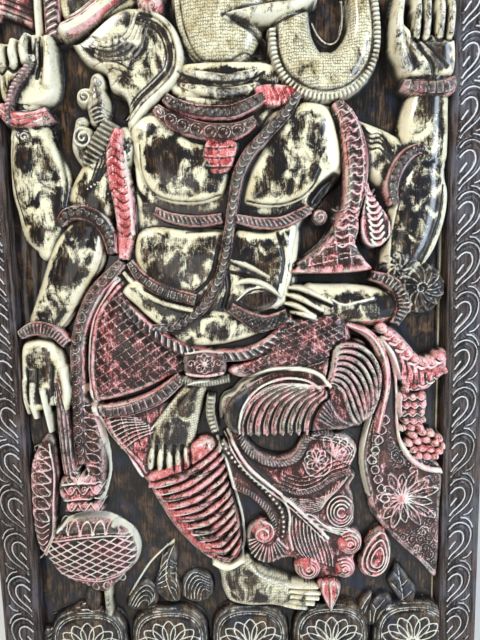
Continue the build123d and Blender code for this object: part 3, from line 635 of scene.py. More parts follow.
def carve_neck(f):
    f.patch([(-92, 1282), (86, 1282), (70, 1225), (-78, 1225)], 20, 10, 0, "cream", worn=0.9)
    for z, half in ((1265, 62), (1243, 68), (1222, 68)):
        f.limb([(-half - 10, z + 6, 7, 20), (-half / 2, z - 6, 13, 28), (0, z - 11, 14, 30),
            (half / 2, z - 6, 13, 28), (half - 8, z + 6, 7, 20)], worn=0.95)
    f.cut([(-80, 1268), (-40, 1254), (0, 1248), (40, 1254), (66, 1266)], 1.4, 2)
    f.patch([(48, 1240), (78, 1246), (118, 1240), (128, 1226), (96, 1206), (60, 1212)], 29, 4)
    for step in range(6):
        f.line([(58 + 9 * step, 1236), (64 + 9 * step, 1222), (62 + 9 * step, 1210)], 0.8, 1.2, chalk=0.8)
    f.band([(-104, 1229, 9, 28), (-86, 1215, 12, 33), (-52, 1203, 13, 35), (0, 1199, 13, 36),
        (30, 1207, 13, 35), (64, 1224, 11, 34)], discs, 14.5, relief=3.5, core=0.1)
    f.band([(-120, 1212, 9, 28), (-104, 1196, 14, 33), (-73, 1180, 16, 36), (-38, 1170, 16, 38),
        (0, 1167, 16, 38), (26, 1172, 14, 38), (50, 1186, 9, 36)], curls, 22, relief=3, core=0.2)
    f.patch([(-36, 1154), (14, 1153), (15, 1128), (0, 1100), (-36, 1102)], 32, 3, share=0.9)
    for z in (1144, 1128, 1112):
        f.ridge([(-36, z), (-14, z - 2), (12, z)], 0.8, 1.4, 0.8)
    f.line([(-14, 1152), (-14, 1104)], 0.8, 1.2, hollow=0.9)
    f.patch([(-34, 1128), (-16, 1127), (-16, 1106), (-34, 1106)], 31, 2, 0, "bare", straight=True)


def carve_torso(f):
    f.patch([(-168, 1190), (-95, 1215), (100, 1216), (190, 1205), (204, 1110), (156, 1040), (122, 1000),
        (118, 900), (118, 850), (60, 790), (-110, 795), (-205, 900), (-172, 985), (-165, 1100)], 16, 8, 4,
        "cream", worn=0.75)
    f.patch([(-167, 1184), (-120, 1204), (-60, 1160), (-10, 1150), (8, 1100), (-4, 1062), (-30, 1048),
        (-70, 1043), (-112, 1050), (-146, 1078), (-160, 1120)], 20, 10, 14, "cream", worn=1, crown_reach=52,
        rim=11)
    f.cut([(-150, 1150), (-148, 1105), (-132, 1072), (-96, 1056), (-50, 1054), (-14, 1064)], 1.2, 1.6, 0.75)
    f.patch([(60, 1180), (90, 1212), (140, 1220), (176, 1208), (196, 1160), (199, 1110), (178, 1086),
        (152, 1064), (120, 1044), (84, 1036), (48, 1037), (22, 1050), (34, 1100), (52, 1140)], 20, 10, 14,
        "cream", worn=0.9, crown_reach=52, rim=13)
    f.cut([(32, 1052), (60, 1046), (92, 1046), (124, 1056), (146, 1074), (160, 1100)], 1.4, 2, 0.9)
    # gap between breast and arm
    f.cut([(150, 1050), (168, 1072), (186, 1086)], 12, 14)
    f.cut([(-166, 1120), (-162, 1082), (-146, 1058)], 3, 5, 0.9)
    # belly in rolls
    f.patch([(-166, 1000), (-128, 1016), (-70, 1009), (-16, 1011), (16, 1010), (60, 1002), (118, 1014),
        (122, 960), (108, 900), (96, 866), (40, 850), (-30, 846), (-90, 862), (-150, 908), (-170, 950)], 24,
        12, 13, "cream", worn=1, crown_reach=62, rim=11)
    f.patch([(-196, 900), (-160, 925), (-118, 893), (-64, 874), (0, 862), (60, 848), (100, 858), (84, 838),
        (50, 816), (-20, 798), (-80, 797), (-114, 820), (-146, 846), (-170, 870)], 28, 8, 8, "cream",
        worn=0.8, rim=7)
    f.cut([(-76, 1000), (-30, 1002), (-10, 1000)], 1.2, 2, 0.8)
    f.cut([(-60, 898), (-40, 915), (-28, 940), (-20, 975)], 2.4, 4)
    # pale strip down the right side of the belly: a painted highlight, with painted shadow beside it
    f.ridge([(112, 1004), (102, 962), (92, 912), (80, 866)], 5, 1, 0.75, shadow=-0.5)
    f.limb([(2, 950, 3, 42), (30, 940, 8, 43), (66, 920, 4, 42)], worn=0)
    f.cut([(0, 930), (30, 922), (66, 908)], 2.2, 4)
    f.limb([(4, 908, 3, 41), (30, 914, 8, 43), (60, 906, 8, 43), (88, 884, 3, 40)], worn=0.3)
    f.patch([(8, 884), (30, 900), (62, 900), (84, 884), (70, 866), (40, 862)], 35, 3, 0, "bare")
    f.ridge([(10, 880), (32, 898), (60, 901), (86, 884)], 1.6, 2.5, 0.8, shadow=0.8)
    f.cut([(-10, 944), (-4, 905), (-14, 868)], 4, 5)
    f.line([(96, 1000), (106, 950), (100, 900), (88, 868)], 3, 1.5, chalk=0.55)
    f.cut([(84, 996), (94, 950), (88, 910)], 2, 2.5, 0.9)
    f.patch([(20, 838), (40, 852), (62, 846), (74, 830), (50, 818)], 37, 4, 0, "bare")


def carve_torso_bands(f):
    f.band([(-130, 1040, 8, 28), (-100, 1026, 10, 34), (-55, 1019, 11, 39), (-12, 1023, 10, 40)], rope, 8,
        core=0.25)
    f.band([(12, 1022, 9, 40), (55, 1013, 11, 38), (95, 1015, 11, 34), (142, 1036, 9, 30)], rope, 8,
        core=0.25)
    f.boss(159, 1022, 15, 15, 24, squareness=3, share=0.25)
    f.scroll(159, 1021, 13, half=1.2, chalk=0.7)
    f.band([(-178, 952, 8, 30), (-158, 925, 11, 36), (-118, 899, 12, 41), (-62, 882, 12, 43)], studs, 12,
        core=0.12)
    f.band([(-190, 934, 4, 28), (-164, 905, 5, 34), (-124, 880, 5, 39), (-64, 862, 5, 41)], None, 8, "cream",
        lip=2.5)
    f.band([(-2, 868, 10, 42), (32, 846, 14, 43), (62, 838, 15, 42), (100, 850, 13, 38)], crossed, 9,
        relief=2, core=0.05)
    # girdle
    belt = [(-212, 898, 12, 32), (-176, 857, 13, 36), (-138, 823, 13, 38), (-92, 796, 13, 40),
        (-40, 783, 12, 41), (20, 782, 12, 41), (62, 800, 12, 38), (110, 844, 10, 34)]
    f.band(belt, rope, 13, relief=3, core=0.15)
    f.line([(x + 3, z + 10) for x, z, half, rise in belt], 2.2, 1.5, paint="red", chalk=0.25)
    f.patch([(-82, 792), (-20, 792), (-10, 768), (-20, 744), (-80, 744), (-90, 768)], 43, 5, 2, share=0.35)
    f.ridge([(-84, 788), (-50, 792), (-16, 788)], 1.4, 2, 0.9, shadow=0.8)
    f.ridge([(-84, 752), (-50, 747), (-16, 752)], 2.2, 2, 0.6, paint="red", shadow=-0.8)
    rosette(f, -50, 770, 18, 8)
    f.scroll(-74, 770, 8, turns=1.1, half=0.9, rise=1.5)
    f.scroll(-26, 770, 8, turns=1.1, start=180, turn=-1, half=0.9, rise=1.5)
    f.band([(-98, 738, 7, 38), (-52, 732, 8, 40), (-6, 738, 7, 38)], ribs, 5, "cream", lip=1.5)
    # sash across the chest, down over the belly and back to the left hip
    f.band([(122, 1228, 9, 32), (100, 1195, 11, 37), (68, 1162, 11, 40), (38, 1132, 11, 41),
        (18, 1096, 11, 41), (8, 1050, 10, 42), (0, 1005, 10, 43), (-8, 960, 10, 45), (-22, 915, 10, 46),
        (-48, 873, 11, 45), (-82, 845, 11, 42), (-112, 833, 11, 40), (-152, 832, 8, 36)], scales, 12, lip=2.6,
        core=0.12, lip_share=0.75)


def carve_left_raised_arm(f):
    f.patch([(-384, 1372), (-372, 1368), (-349, 1360), (-320, 1352), (-319, 1420), (-322, 1560), (-350, 1600),
        (-384, 1520)], 14, 5, 2, share=0.7)
    for shift in (0, 9, 18):
        f.ridge([(-384, 1384 + shift), (-352, 1372 + shift), (-322, 1360 + shift)], 1, 1.4, 0.35)
    f.limb([(-311, 1325, 7, 28), (-311, 1440, 7, 28), (-311, 1560, 6, 26)], worn=0.3)
    f.band([(-289, 1328, 13, 24), (-287, 1400, 15, 24), (-292, 1500, 14, 22), (-296, 1560, 8, 18)], rope, 11,
        core=0.5)
    f.limb([(-342, 1212, 34, 28), (-340, 1185, 35, 30), (-336, 1140, 44, 34), (-328, 1092, 54, 34),
        (-324, 1050, 52, 32), (-328, 1005, 40, 28), (-324, 975, 20, 22)], worn=0.87)
    f.cut([(-366, 1170), (-372, 1120), (-368, 1070), (-356, 1020)], 1.2, 1.8, 0.8)
    f.cut([(-300, 1168), (-286, 1120), (-280, 1080), (-284, 1052)], 2, 2.4, 0.9)
    f.patch([(-383, 1318), (-358, 1324), (-341, 1331), (-320, 1337), (-290, 1331), (-285, 1322), (-282, 1260),
        (-296, 1226), (-340, 1214), (-380, 1226), (-386, 1270)], 26, 10, 4, "cream", worn=0.55)
    for (root_x, root_z), (tip_x, tip_z) in (((-372, 1312), (-374, 1282)), ((-352, 1320), (-353, 1284)),
            ((-330, 1328), (-335, 1290))):
        f.limb([(root_x, root_z, 9, 36), (tip_x, (root_z + tip_z) / 2, 10.5, 43), (tip_x, tip_z, 10, 36)],
            worn=0.5)
        f.cut([(tip_x + 10, root_z), (tip_x + 10.5, tip_z + 4), (tip_x, tip_z - 11), (tip_x - 9, tip_z - 6)],
            1.8, 5)
    f.limb([(-296, 1324, 10, 34), (-294, 1290, 12, 40), (-300, 1252, 13, 36)], worn=0.4)
    f.cut([(-308, 1326), (-308, 1290), (-316, 1262)], 2, 5)
    f.cut([(-314, 1324), (-318, 1300), (-316, 1284)], 1.4, 3, 0.9)
    f.band([(-386, 1220, 10, 28), (-368, 1201, 14, 34), (-346, 1195, 15, 37), (-322, 1197, 14, 37),
        (-301, 1207, 12, 33)], None, 10, lip=2.5)
    for shift in (0, 9):
        f.ridge([(-386, 1211 + shift), (-366, 1193 + shift), (-344, 1188 + shift), (-304, 1200 + shift)], 0.9,
            -1.6, 0.5)
    f.band([(-322, 1286, 5, 43), (-338, 1264, 6, 44), (-354, 1243, 6, 44), (-365, 1216, 6, 43),
        (-368, 1186, 5, 38)], rope, 7, lip=0.8, core=0.6)
    f.bead(-324, 1294, 7, 4, "cream")
    f.scroll(-364, 1168, 10, turns=1.2, half=1.1, rise=2.5, chalk=0.7)
    f.scroll(-344, 1166, 8, turns=1.1, half=1.1, rise=2.5, chalk=0.7)


def carve_left_lower_arm(f):
    f.limb([(-176, 1160, 26, 24), (-206, 1118, 40, 30), (-234, 1070, 45, 32), (-246, 1040, 44, 30)], worn=0.9)
    for shift in (0, 8, 16, 24):
        f.cut([(-196 - shift, 1140 - shift * 0.4), (-206 - shift, 1116 - shift * 0.5),
            (-222 - shift * 0.8, 1090 - shift * 0.4)], 1, 1.4, 0.7)
    f.limb([(-248, 1010, 38, 32), (-270, 968, 48, 36), (-296, 915, 44, 36), (-320, 872, 38, 32),
        (-336, 846, 33, 30)], ring=5)
    for index in range(3):
        loop(f, -352 + 12 * index, 862 + 5 * index, 18, 9, 70 - 12 * index, chalk=0.5)
    f.band([(-297, 1020, 9, 28), (-280, 1036, 13, 36), (-256, 1039, 14, 39), (-230, 1029, 14, 39),
        (-212, 1004, 14, 37), (-206, 966, 10, 32)], discs, 13, relief=3, core=0.1)
    f.band([(-382, 826, 9, 30), (-361, 836, 13, 34), (-341, 838, 14, 36), (-320, 831, 13, 35),
        (-297, 808, 11, 30)], ribs, 6, relief=2, core=0.35)
    f.patch([(-382, 806), (-360, 818), (-338, 818), (-318, 806), (-302, 768), (-297, 733), (-295, 697),
        (-306, 680), (-330, 690), (-360, 682), (-381, 690), (-387, 715), (-387, 761)], 24, 10, 6, "cream",
        worn=1)
    for path in (((-345, 722, 9, 38), (-342, 690, 7, 36), (-339, 646, 5, 28)),
            ((-363, 735, 9, 36), (-368, 700, 8, 32), (-366, 672, 6, 24)),
            ((-378, 742, 8, 32), (-381, 706, 7, 26), (-380, 680, 5, 18)), ((-308, 760, 11, 34),
            (-303, 720, 11, 36), (-308, 688, 8, 30))):
        f.limb(list(path), worn=0.4)
    for x, z in ((-354, 740), (-371, 738), (-326, 745)):
        f.cut([(x, z + 24), (x - 2, z - 10), (x - 2, z - 38)], 1.8, 4)
    f.bead(-326, 707, 7, 3, "cream")
    f.patch([(-384, 690), (-350, 672), (-346, 640), (-352, 612), (-372, 604), (-384, 620)], 5, 3, 0, "bare")


def carve_right_raised_arm(f):
    f.limb([(212, 1172, 22, 20), (250, 1140, 38, 26), (292, 1108, 46, 28), (330, 1090, 46, 26)], worn=0.85)
    for shift in (0, 8, 16, 26):
        f.cut([(228, 1176 - shift), (246, 1160 - shift), (262, 1160 - shift), (284, 1134 - shift)], 1, 1.6,
            0.8)
    f.limb([(348, 1245, 36, 28), (347, 1215, 38, 32), (342, 1172, 44, 34), (340, 1128, 46, 32)], worn=0.85)
    f.patch([(303, 1250), (290, 1272), (278, 1297), (277, 1323), (282, 1352), (292, 1372), (303, 1340),
        (330, 1322), (372, 1322), (390, 1312), (390, 1256), (346, 1244)], 24, 10, 8, "cream", worn=0.95)
    f.limb([(310, 1264, 14, 32), (294, 1300, 14, 38), (290, 1340, 12, 38), (296, 1380, 10, 32)], worn=0.85)
    for x, top in ((322, 1392), (338, 1396), (361, 1394), (378, 1384)):
        f.limb([(x, top, 7.5, 32), (x, 1350, 9, 40), (x, 1318, 9, 34)])
        f.cut([(x - 8, 1352), (x - 8, 1312), (x, 1306), (x + 8, 1312)], 1.5, 5)
    f.cut([(318, 1310), (330, 1290), (345, 1270), (352, 1250)], 2, 4, 0.9)
    f.cut([(330, 1306), (350, 1288), (372, 1262)], 1.6, 3, 0.8)
    f.line([(312, 1300), (326, 1280), (334, 1262)], 1.6, 2, chalk=0.6)
    f.band([(299, 1240, 10, 30), (318, 1234, 13, 35), (346, 1230, 15, 38), (372, 1232, 15, 38),
        (391, 1240, 13, 34)], studs, 13, core=0.75, lip=3)
    f.limb([(352, 1388, 8, 26), (352, 1440, 10, 26), (352, 1474, 26, 28), (352, 1520, 24, 26),
        (352, 1560, 4, 18)], "red", worn=0)
    f.line([(352, 1450), (338, 1490), (352, 1548)], 1.4, 2, chalk=0.7)
    f.line([(352, 1450), (366, 1490), (352, 1548)], 1.4, 2, chalk=0.7)


def carve_right_lower_arm(f):
    f.limb([(352, 1108, 30, 30), (342, 1080, 44, 36), (334, 1035, 52, 38), (322, 985, 50, 37),
        (306, 945, 40, 34), (296, 915, 28, 30)], worn=0.95)
    f.ridge([(292, 1040), (284, 1000), (280, 960), (280, 930)], 1.8, 2, 0.5, shadow=-0.9)
    f.cut([(372, 1070), (366, 1020), (350, 970), (334, 930)], 2.2, 3, 0.9)
    # pale line along the arm's right edge: a low ridge whose pale paint is a painted highlight
    f.line([(384, 1070), (378, 1020), (362, 968), (344, 928)], 2, 2, chalk=0.6)
    f.band([(352, 1131, 8, 30), (322, 1130, 11, 36), (304, 1118, 13, 39), (289, 1096, 13, 39),
        (282, 1070, 13, 38), (288, 1040, 9, 32)], discs, 13, relief=3, core=0.15)
    f.limb([(300, 868, 30, 34), (262, 862, 36, 37), (215, 866, 38, 39), (170, 872, 34, 38),
        (140, 880, 28, 36)])
    f.line([(176, 878), (196, 868), (222, 872), (250, 878)], 2.6, 2, chalk=0.7)
    for tip, middle, root in (((104, 900), (128, 896), (176, 872)), ((98, 888), (122, 880), (160, 858)),
            ((96, 872), (118, 866), (148, 848)), ((108, 856), (128, 852), (150, 842))):
        f.limb([(*tip, 4, 36), (*middle, 7.5, 44), (*root, 5, 40)], worn=0.2)
        f.cut([(tip[0] + 2, tip[1] - 6), (middle[0] - 2, middle[1] - 7.5), (root[0], root[1] - 6)], 1.9, 6)
    f.line([(160, 845), (200, 834), (250, 834), (284, 840)], 3.5, 1, paint="red")
    f.band([(248, 918, 9, 34), (276, 908, 12, 41), (297, 888, 14, 43), (302, 860, 14, 43), (290, 830, 9, 36)],
        ribs, 7.5, relief=3, core=0.12)
    # swirled flowers at the elbow
    for x, z, radius, count in ((292, 931, 24, 8), (338, 893, 46, 13)):
        f.dome(x, z, radius, radius, 25, "bare", worn=0, squareness=3.4)
        for index in range(count):
            turn = 2 * math.pi * index / count
            petal = [spoke(x, z, turn + 0.75 * reach, radius * reach) for reach in (0.2, 0.5, 0.78, 0.97)]
            f.ridge(petal, 1.4, 3.6, 0.45)
            tip = spoke(x, z, turn + 0.9, 0.86 * radius)
            f.line(small_ring(*tip, 0.17 * radius), 1.1, 2.6, chalk=0.4, closed=True, steps=3)
        f.scroll(x, z, radius * 0.26, turns=1.2, half=1.1, rise=2.6, chalk=0.6)


def carve_scarves(f):
    f.band([(-184, 1178, 10, 30), (-193, 1140, 17, 34), (-189, 1095, 21, 35), (-182, 1050, 19, 35),
        (-181, 1000, 17, 33), (-188, 956, 9, 32)], None, 15, lip=3)
    for shift in range(12):
        z = 1160 - 14 * shift
        f.cut([(-206, z - 6), (-194, z), (-180, z - 10), (-170, z - 4)], 0.9, 1.2, 0.85)
    f.line([(-204, 1150), (-204, 1090), (-196, 1040), (-190, 1000)], 0.9, 1.4, chalk=0.7)
    f.line([(-176, 1140), (-172, 1095), (-168, 1050), (-168, 1000)], 1.6, 2, chalk=0.95)
    f.band([(-190, 952, 9, 34), (-212, 930, 12, 34), (-240, 902, 13, 34), (-262, 864, 13, 33),
        (-279, 812, 13, 31), (-284, 750, 13, 29), (-286, 650, 13, 27), (-286, 580, 10, 24)], curls, 19,
        core=0.25, lip=2.6)
    f.patch([(-280, 720), (-266, 700), (-252, 665), (-244, 625), (-242, 580), (-250, 530), (-262, 500),
        (-276, 540), (-284, 600), (-284, 680)], 20, 4, 2, share=0.45)
    for step in range(8):
        z = 692 - 23 * step
        loop(f, -278, z, 30, 15, -28, chalk=0.85)
        f.cut([(-276, z - 2), (-262, z - 9), (-250, z - 16)], 0.9, 1.6, 0.95)
    ridge = [(-272, 728), (-257, 685), (-246, 640), (-239, 600), (-239, 560), (-247, 528), (-256, 503)]
    f.ridge(ridge, 3.2, 4, 0.95, shadow=-0.9)
    # right scarf and its flared hem
    f.patch([(200, 1040), (222, 1040), (228, 1000), (222, 975), (236, 950), (250, 928), (200, 922),
        (150, 922), (106, 924), (130, 950), (164, 976), (184, 1008)], 33, 5, 3, share=0.7)
    f.fill([(186, 1006), (222, 1006), (222, 970), (244, 940), (200, 936), (130, 936), (160, 965)],
        netting(24, 4, 100, dark=0.25), 2)
    for step in range(5):
        f.ridge([(186, 1036 - 16 * step), (196, 1032 - 16 * step), (208, 1038 - 16 * step),
            (222, 1031 - 16 * step)], 1.6, 2.6, 0.7)
    for x, z, half in ((128, 937, 11), (152, 946, 10), (166, 960, 9), (176, 940, 12), (188, 964, 10),
            (194, 992, 8), (202, 944, 12), (206, 974, 10), (228, 940, 9)):
        f.boss(x, z, half, half * 0.9, 35, squareness=4, share=0.12)
        f.line([(x - half, z + half), (x, z + half + 2), (x + half, z + half)], 1.1, 1.5, chalk=0.6)
    f.ridge([(108, 929), (150, 926), (200, 925), (250, 930)], 2, 2, 0.3, paint="red")
    f.ridge([(112, 938), (136, 954), (166, 980), (186, 1012), (196, 1040)], 1.6, 2.4, 0.5, paint="red",
        shadow=-0.8)
    f.band([(188, 1214, 10, 32), (208, 1180, 18, 36), (220, 1130, 22, 38), (222, 1085, 21, 38),
        (214, 1035, 17, 36), (205, 1005, 16, 36)], studs, 15, core=0.95, lip=5)
    for z in range(1014, 1200, 15):
        x = np.interp(z, (1005, 1035, 1085, 1130, 1180, 1214), (205, 214, 222, 220, 208, 188))
        f.ridge([(x - 14, z - 2), (x - 6, z + 4), (x + 3, z - 2), (x + 13, z + 5)], 1, 2, 0.75, shadow=0.8)
    f.ridge([(206, 1200), (224, 1170), (230, 1130), (231, 1085), (224, 1040)], 1, 1.6, 0.8, shadow=0.8)
    # lilac loop beside it
    f.patch([(240, 1084), (252, 1060), (262, 1046), (280, 1020), (284, 992), (272, 972), (252, 964),
        (236, 974), (228, 1000), (232, 1040)], 24, 4, 2, share=0.7)
    for step in range(9):
        x = 246 + 1.6 * step
        z = 1066 - 11 * step
        f.ridge([(x - 10, z + 2), (x - 4, z - 6), (x + 6, z - 6), (x + 13, z + 3)], 2.2, 2.6, 0.95)
    f.ridge([(244, 1080), (236, 1040), (232, 1000), (242, 974), (262, 970), (278, 984), (280, 1012)], 1.6,
        2.4, 0.7)


def carve_left_leg(f):
    f.patch([(-200, 923), (-231, 887), (-250, 854), (-259, 818), (-263, 782), (-264, 749), (-256, 700),
        (-180, 712), (-120, 738), (-80, 752), (-70, 790), (-110, 800), (-160, 846)], 24, 9, 12,
        crown_reach=60, share=0.8)
    f.fill([(-198, 912), (-226, 880), (-242, 848), (-250, 800), (-252, 750), (-244, 708), (-180, 720),
        (-124, 744), (-90, 758), (-84, 784), (-112, 800), (-160, 846)], netting(14.5, 38, 122, pale=0.75,
        dark=0.4, half=0.6), 2.2)
    f.patch([(-250, 690), (-240, 655), (-228, 630), (-206, 604), (-180, 556), (-158, 548), (-140, 640),
        (-96, 700), (-120, 700)], 20, 5, 5, share=0.7)
    for step in range(8):
        share = step / 7
        f.ridge([(-246 + 30 * share, 664 - 62 * share), (-215 + 34 * share, 672 - 44 * share),
            (-176 + 30 * share, 668 - 26 * share)], 1, 2.2, 0.85)
    for step in range(5):
        f.ridge([(-232 + 24 * step, 672 + 3 * step), (-222 + 22 * step, 640),
            (-204 + 16 * step, 604 + 6 * step)], 0.9, 1.4, 0.7, shadow=0.7)
    f.band([(-260, 685, 9, 30), (-215, 683, 14, 36), (-175, 692, 15, 38), (-135, 709, 15, 38),
        (-92, 744, 12, 36)], studs, 13, lip=4)
    ridge = [(-201, 921), (-232, 885), (-250, 850), (-260, 800), (-264, 748), (-257, 700), (-247, 668),
        (-234, 636), (-214, 608), (-190, 580), (-176, 556)]
    f.ridge(ridge, 4.6, 6, 0.95, shadow=-1)
    f.parallel(ridge, 11, 2.4, 3, chalk=0.35, paint="red", shadow=-0.8)
    # hanging foot and its anklet
    f.limb([(-68, 722, 20, 30), (-88, 690, 32, 34), (-110, 650, 42, 36), (-122, 612, 43, 34),
        (-124, 594, 38, 30)], hatch=0.8)
    for root, tip, half in (((-153, 606), (-159, 572), 9), ((-137, 608), (-141, 568), 9),
            ((-121, 608), (-123, 566), 9), ((-106, 607), (-106, 568), 8.5), ((-92, 606), (-90, 574), 8)):
        finger(f, root, tip, (half * 0.7, half * 0.9, half * 0.8), (32, 36, 27), worn=0.45)
        f.cut([(root[0] + half, root[1] + 8), (tip[0] + half, tip[1] + 2)], 1.6, 5)
    f.band([(-41, 708, 8, 34), (-44, 672, 9, 34), (-36, 638, 8, 32)], ribs, 8, "cream", relief=3, lip=1.6,
        core=0.4)
    f.ridge([(-45, 738), (-78, 732), (-100, 712), (-128, 676), (-152, 648)], 1.8, 3, 0.8)


def carve_right_leg(f):
    # thigh under netting
    f.patch([(96, 842), (180, 856), (206, 840), (215, 800), (190, 770), (140, 754), (60, 744), (14, 736),
        (-14, 756), (40, 782), (70, 804)], 30, 10, 10, crown_reach=50, share=0.75)
    f.fill([(96, 838), (180, 852), (200, 834), (202, 800), (184, 776), (140, 760), (60, 752), (10, 744),
        (44, 780), (74, 806)], netting(10.5, 52, 112, pale=0.7, dark=0.4, half=0.55), 2)
    # knee and folded shin
    f.patch([(-25, 684), (-18, 703), (0, 712), (15, 728), (38, 742), (69, 754), (103, 758), (150, 770),
        (180, 790), (206, 806), (240, 800), (256, 765), (260, 712), (252, 677), (231, 654), (208, 636),
        (160, 632), (100, 628), (30, 626), (0, 632), (-16, 655)], 30, 10, 9, crown_reach=40, share=0.55)
    f.patch([(-20, 664), (-12, 696), (6, 712), (26, 724), (30, 700), (20, 668), (16, 634), (-8, 640)], 38, 5,
        2, "bare")
    centre = (164, 722)
    for step in range(9):
        share = step / 8
        base_x = 14 + 118 * share
        lift = 1 - share
        path = [(base_x, 631), (base_x + 2, 660 + 2 * lift), (base_x + 16 + 8 * lift, 690 + 12 * lift),
            (base_x + 44 * lift + 34, 706 + 22 * lift), (centre[0], centre[1])]
        f.limb([(x, z, radius, rise) for (x, z), radius, rise in zip(path, (4, 6, 6, 4.5, 2),
            (34, 42, 45, 44, 38))], "red", worn=0.6, share=0.9)
        f.cut([(x + 7 - k, z - 3) for k, (x, z) in enumerate(path)], 1.9, 5)
        f.line([(x - 5, z + 1) for x, z in path], 1, 1.6, chalk=0.95)
        f.line([(x + 2, z) for x, z in path], 0.7, 1, chalk=0.6)
    near = np.array([(170, 724), (179, 721), (194, 708), (200, 687), (206, 667), (216, 652), (226, 646)])
    far = np.array([(180, 752), (187, 790), (215, 795), (244, 779), (261, 745), (261, 705), (252, 668)])
    for share in np.linspace(0.05, 1, 8):
        path = [tuple(spot) for spot in (1 - share) * near + share * far]
        f.limb([(*spot, r, h) for spot, r, h in zip(path, (4, 6, 6.5, 6.5, 6, 5, 3),
            (38, 44, 46, 46, 44, 40, 34))], "red", worn=0.6, share=0.9)
        f.parallel(path, 6.5, 1.5, -5, hollow=1)
        f.parallel(path, 3, 1.1, 1.8, chalk=0.95)
        f.parallel(path, -2, 0.8, 1, chalk=0.6)
    flow(f, [(150, 660), (190, 640), (236, 634)], [(166, 700), (190, 660), (226, 642)], 6, chalk=0.6)
    outer = [(-25, 660), (-25, 684), (-18, 703), (0, 712), (15, 728), (38, 742), (69, 754), (103, 755),
        (133, 752), (156, 742), (172, 722)]
    f.ridge(outer, 3.4, 5, 0.75, paint="cream", shadow=-0.9)
    f.ridge([(8, 650), (10, 666), (16, 687), (32, 710), (56, 728), (90, 738), (123, 736), (146, 726),
        (158, 712)], 2, 4, 0.9, shadow=-0.9)


def carve_standing_leg(f):
    f.patch([(-168, 560), (-160, 528), (-142, 492), (-123, 458), (-97, 425), (-72, 400), (-46, 384),
        (-20, 378), (3, 386), (8, 415), (5, 461), (-5, 505), (-20, 569), (-41, 622), (-80, 620), (-130, 580)],
        26, 12, 12, crown_reach=46, share=0.95)
    count = 12
    for step in range(count):
        share = step / (count - 1)
        left = (-160 + 122 * share, 538 - 142 * share)
        right = (-28 + 32 * share, 606 - 186 * share)
        middle = ((left[0] + right[0]) / 2 + 2, (left[1] + right[1]) / 2 - 10)
        near = (0.72 * left[0] + 0.28 * right[0], 0.72 * left[1] + 0.28 * right[1] - 8)
        f.limb([(*left, 4, 34), (*near, 6.5, 42), (*middle, 7, 45), (*right, 4, 36)], "red", worn=0,
            chalk=0.3)
        f.cut([(left[0] + 1, left[1] + 6), (near[0], near[1] + 7), (middle[0], middle[1] + 7),
            (right[0], right[1] + 6)], 1.3, 5)
        f.line([(left[0], left[1] - 4), (near[0], near[1] - 5), (middle[0], middle[1] - 5),
            (right[0], right[1] - 4)], 1.2, 1.8, chalk=0.95)
        lens = 0.5 + 0.32 * math.sin(2.3 * step)
        spot = (left[0] + (right[0] - left[0]) * lens, left[1] + (right[1] - left[1]) * lens - 9)
        f.cut([(spot[0] - 26, spot[1] - 5), (spot[0], spot[1]), (spot[0] + 26, spot[1] + 7)], 3.4, 1.2, 0.9)
        f.line([(spot[0] - 24, spot[1] - 4), (spot[0], spot[1] - 1), (spot[0] + 24, spot[1] + 5)], 0.7, 1,
            chalk=0.7)
    f.ridge([(-176, 556), (-160, 526), (-142, 492), (-123, 457), (-97, 425), (-72, 401), (-46, 386)], 3.6, 6,
        0.6, paint="cream")
    f.line([(-34, 622), (-14, 569), (0, 505), (10, 461), (13, 415), (8, 390)], 2.6, 5, chalk=0.9,
        paint="cream")
    f.band([(-48, 386, 6, 36), (-20, 376, 8, 39), (13, 390, 6, 36)], None, 8, "cream", lip=2)
    # foot on the lotus
    f.patch([(-42, 380), (-36, 346), (-32, 318), (-18, 296), (20, 286), (59, 286), (90, 282), (110, 300),
        (100, 334), (62, 352), (34, 374), (16, 394), (-14, 378)], 24, 10, 10, "cream", worn=1, hatch=0.8)
    f.ridge([(24, 374), (44, 352), (80, 336), (124, 322)], 1.8, 3, 0.85, shadow=-0.9)
    for root, tip in (((96, 328), (151, 321)), ((98, 318), (155, 308)), ((96, 308), (152, 297)),
            ((92, 298), (143, 286)), ((86, 290), (128, 278))):
        finger(f, root, tip, (5, 6.5, 5), (30, 33, 25), lift=3)
        f.cut([(root[0], root[1] - 6), ((root[0] + tip[0]) / 2, (root[1] + tip[1]) / 2 - 3),
            (tip[0], tip[1] - 6)], 1.4, 4)


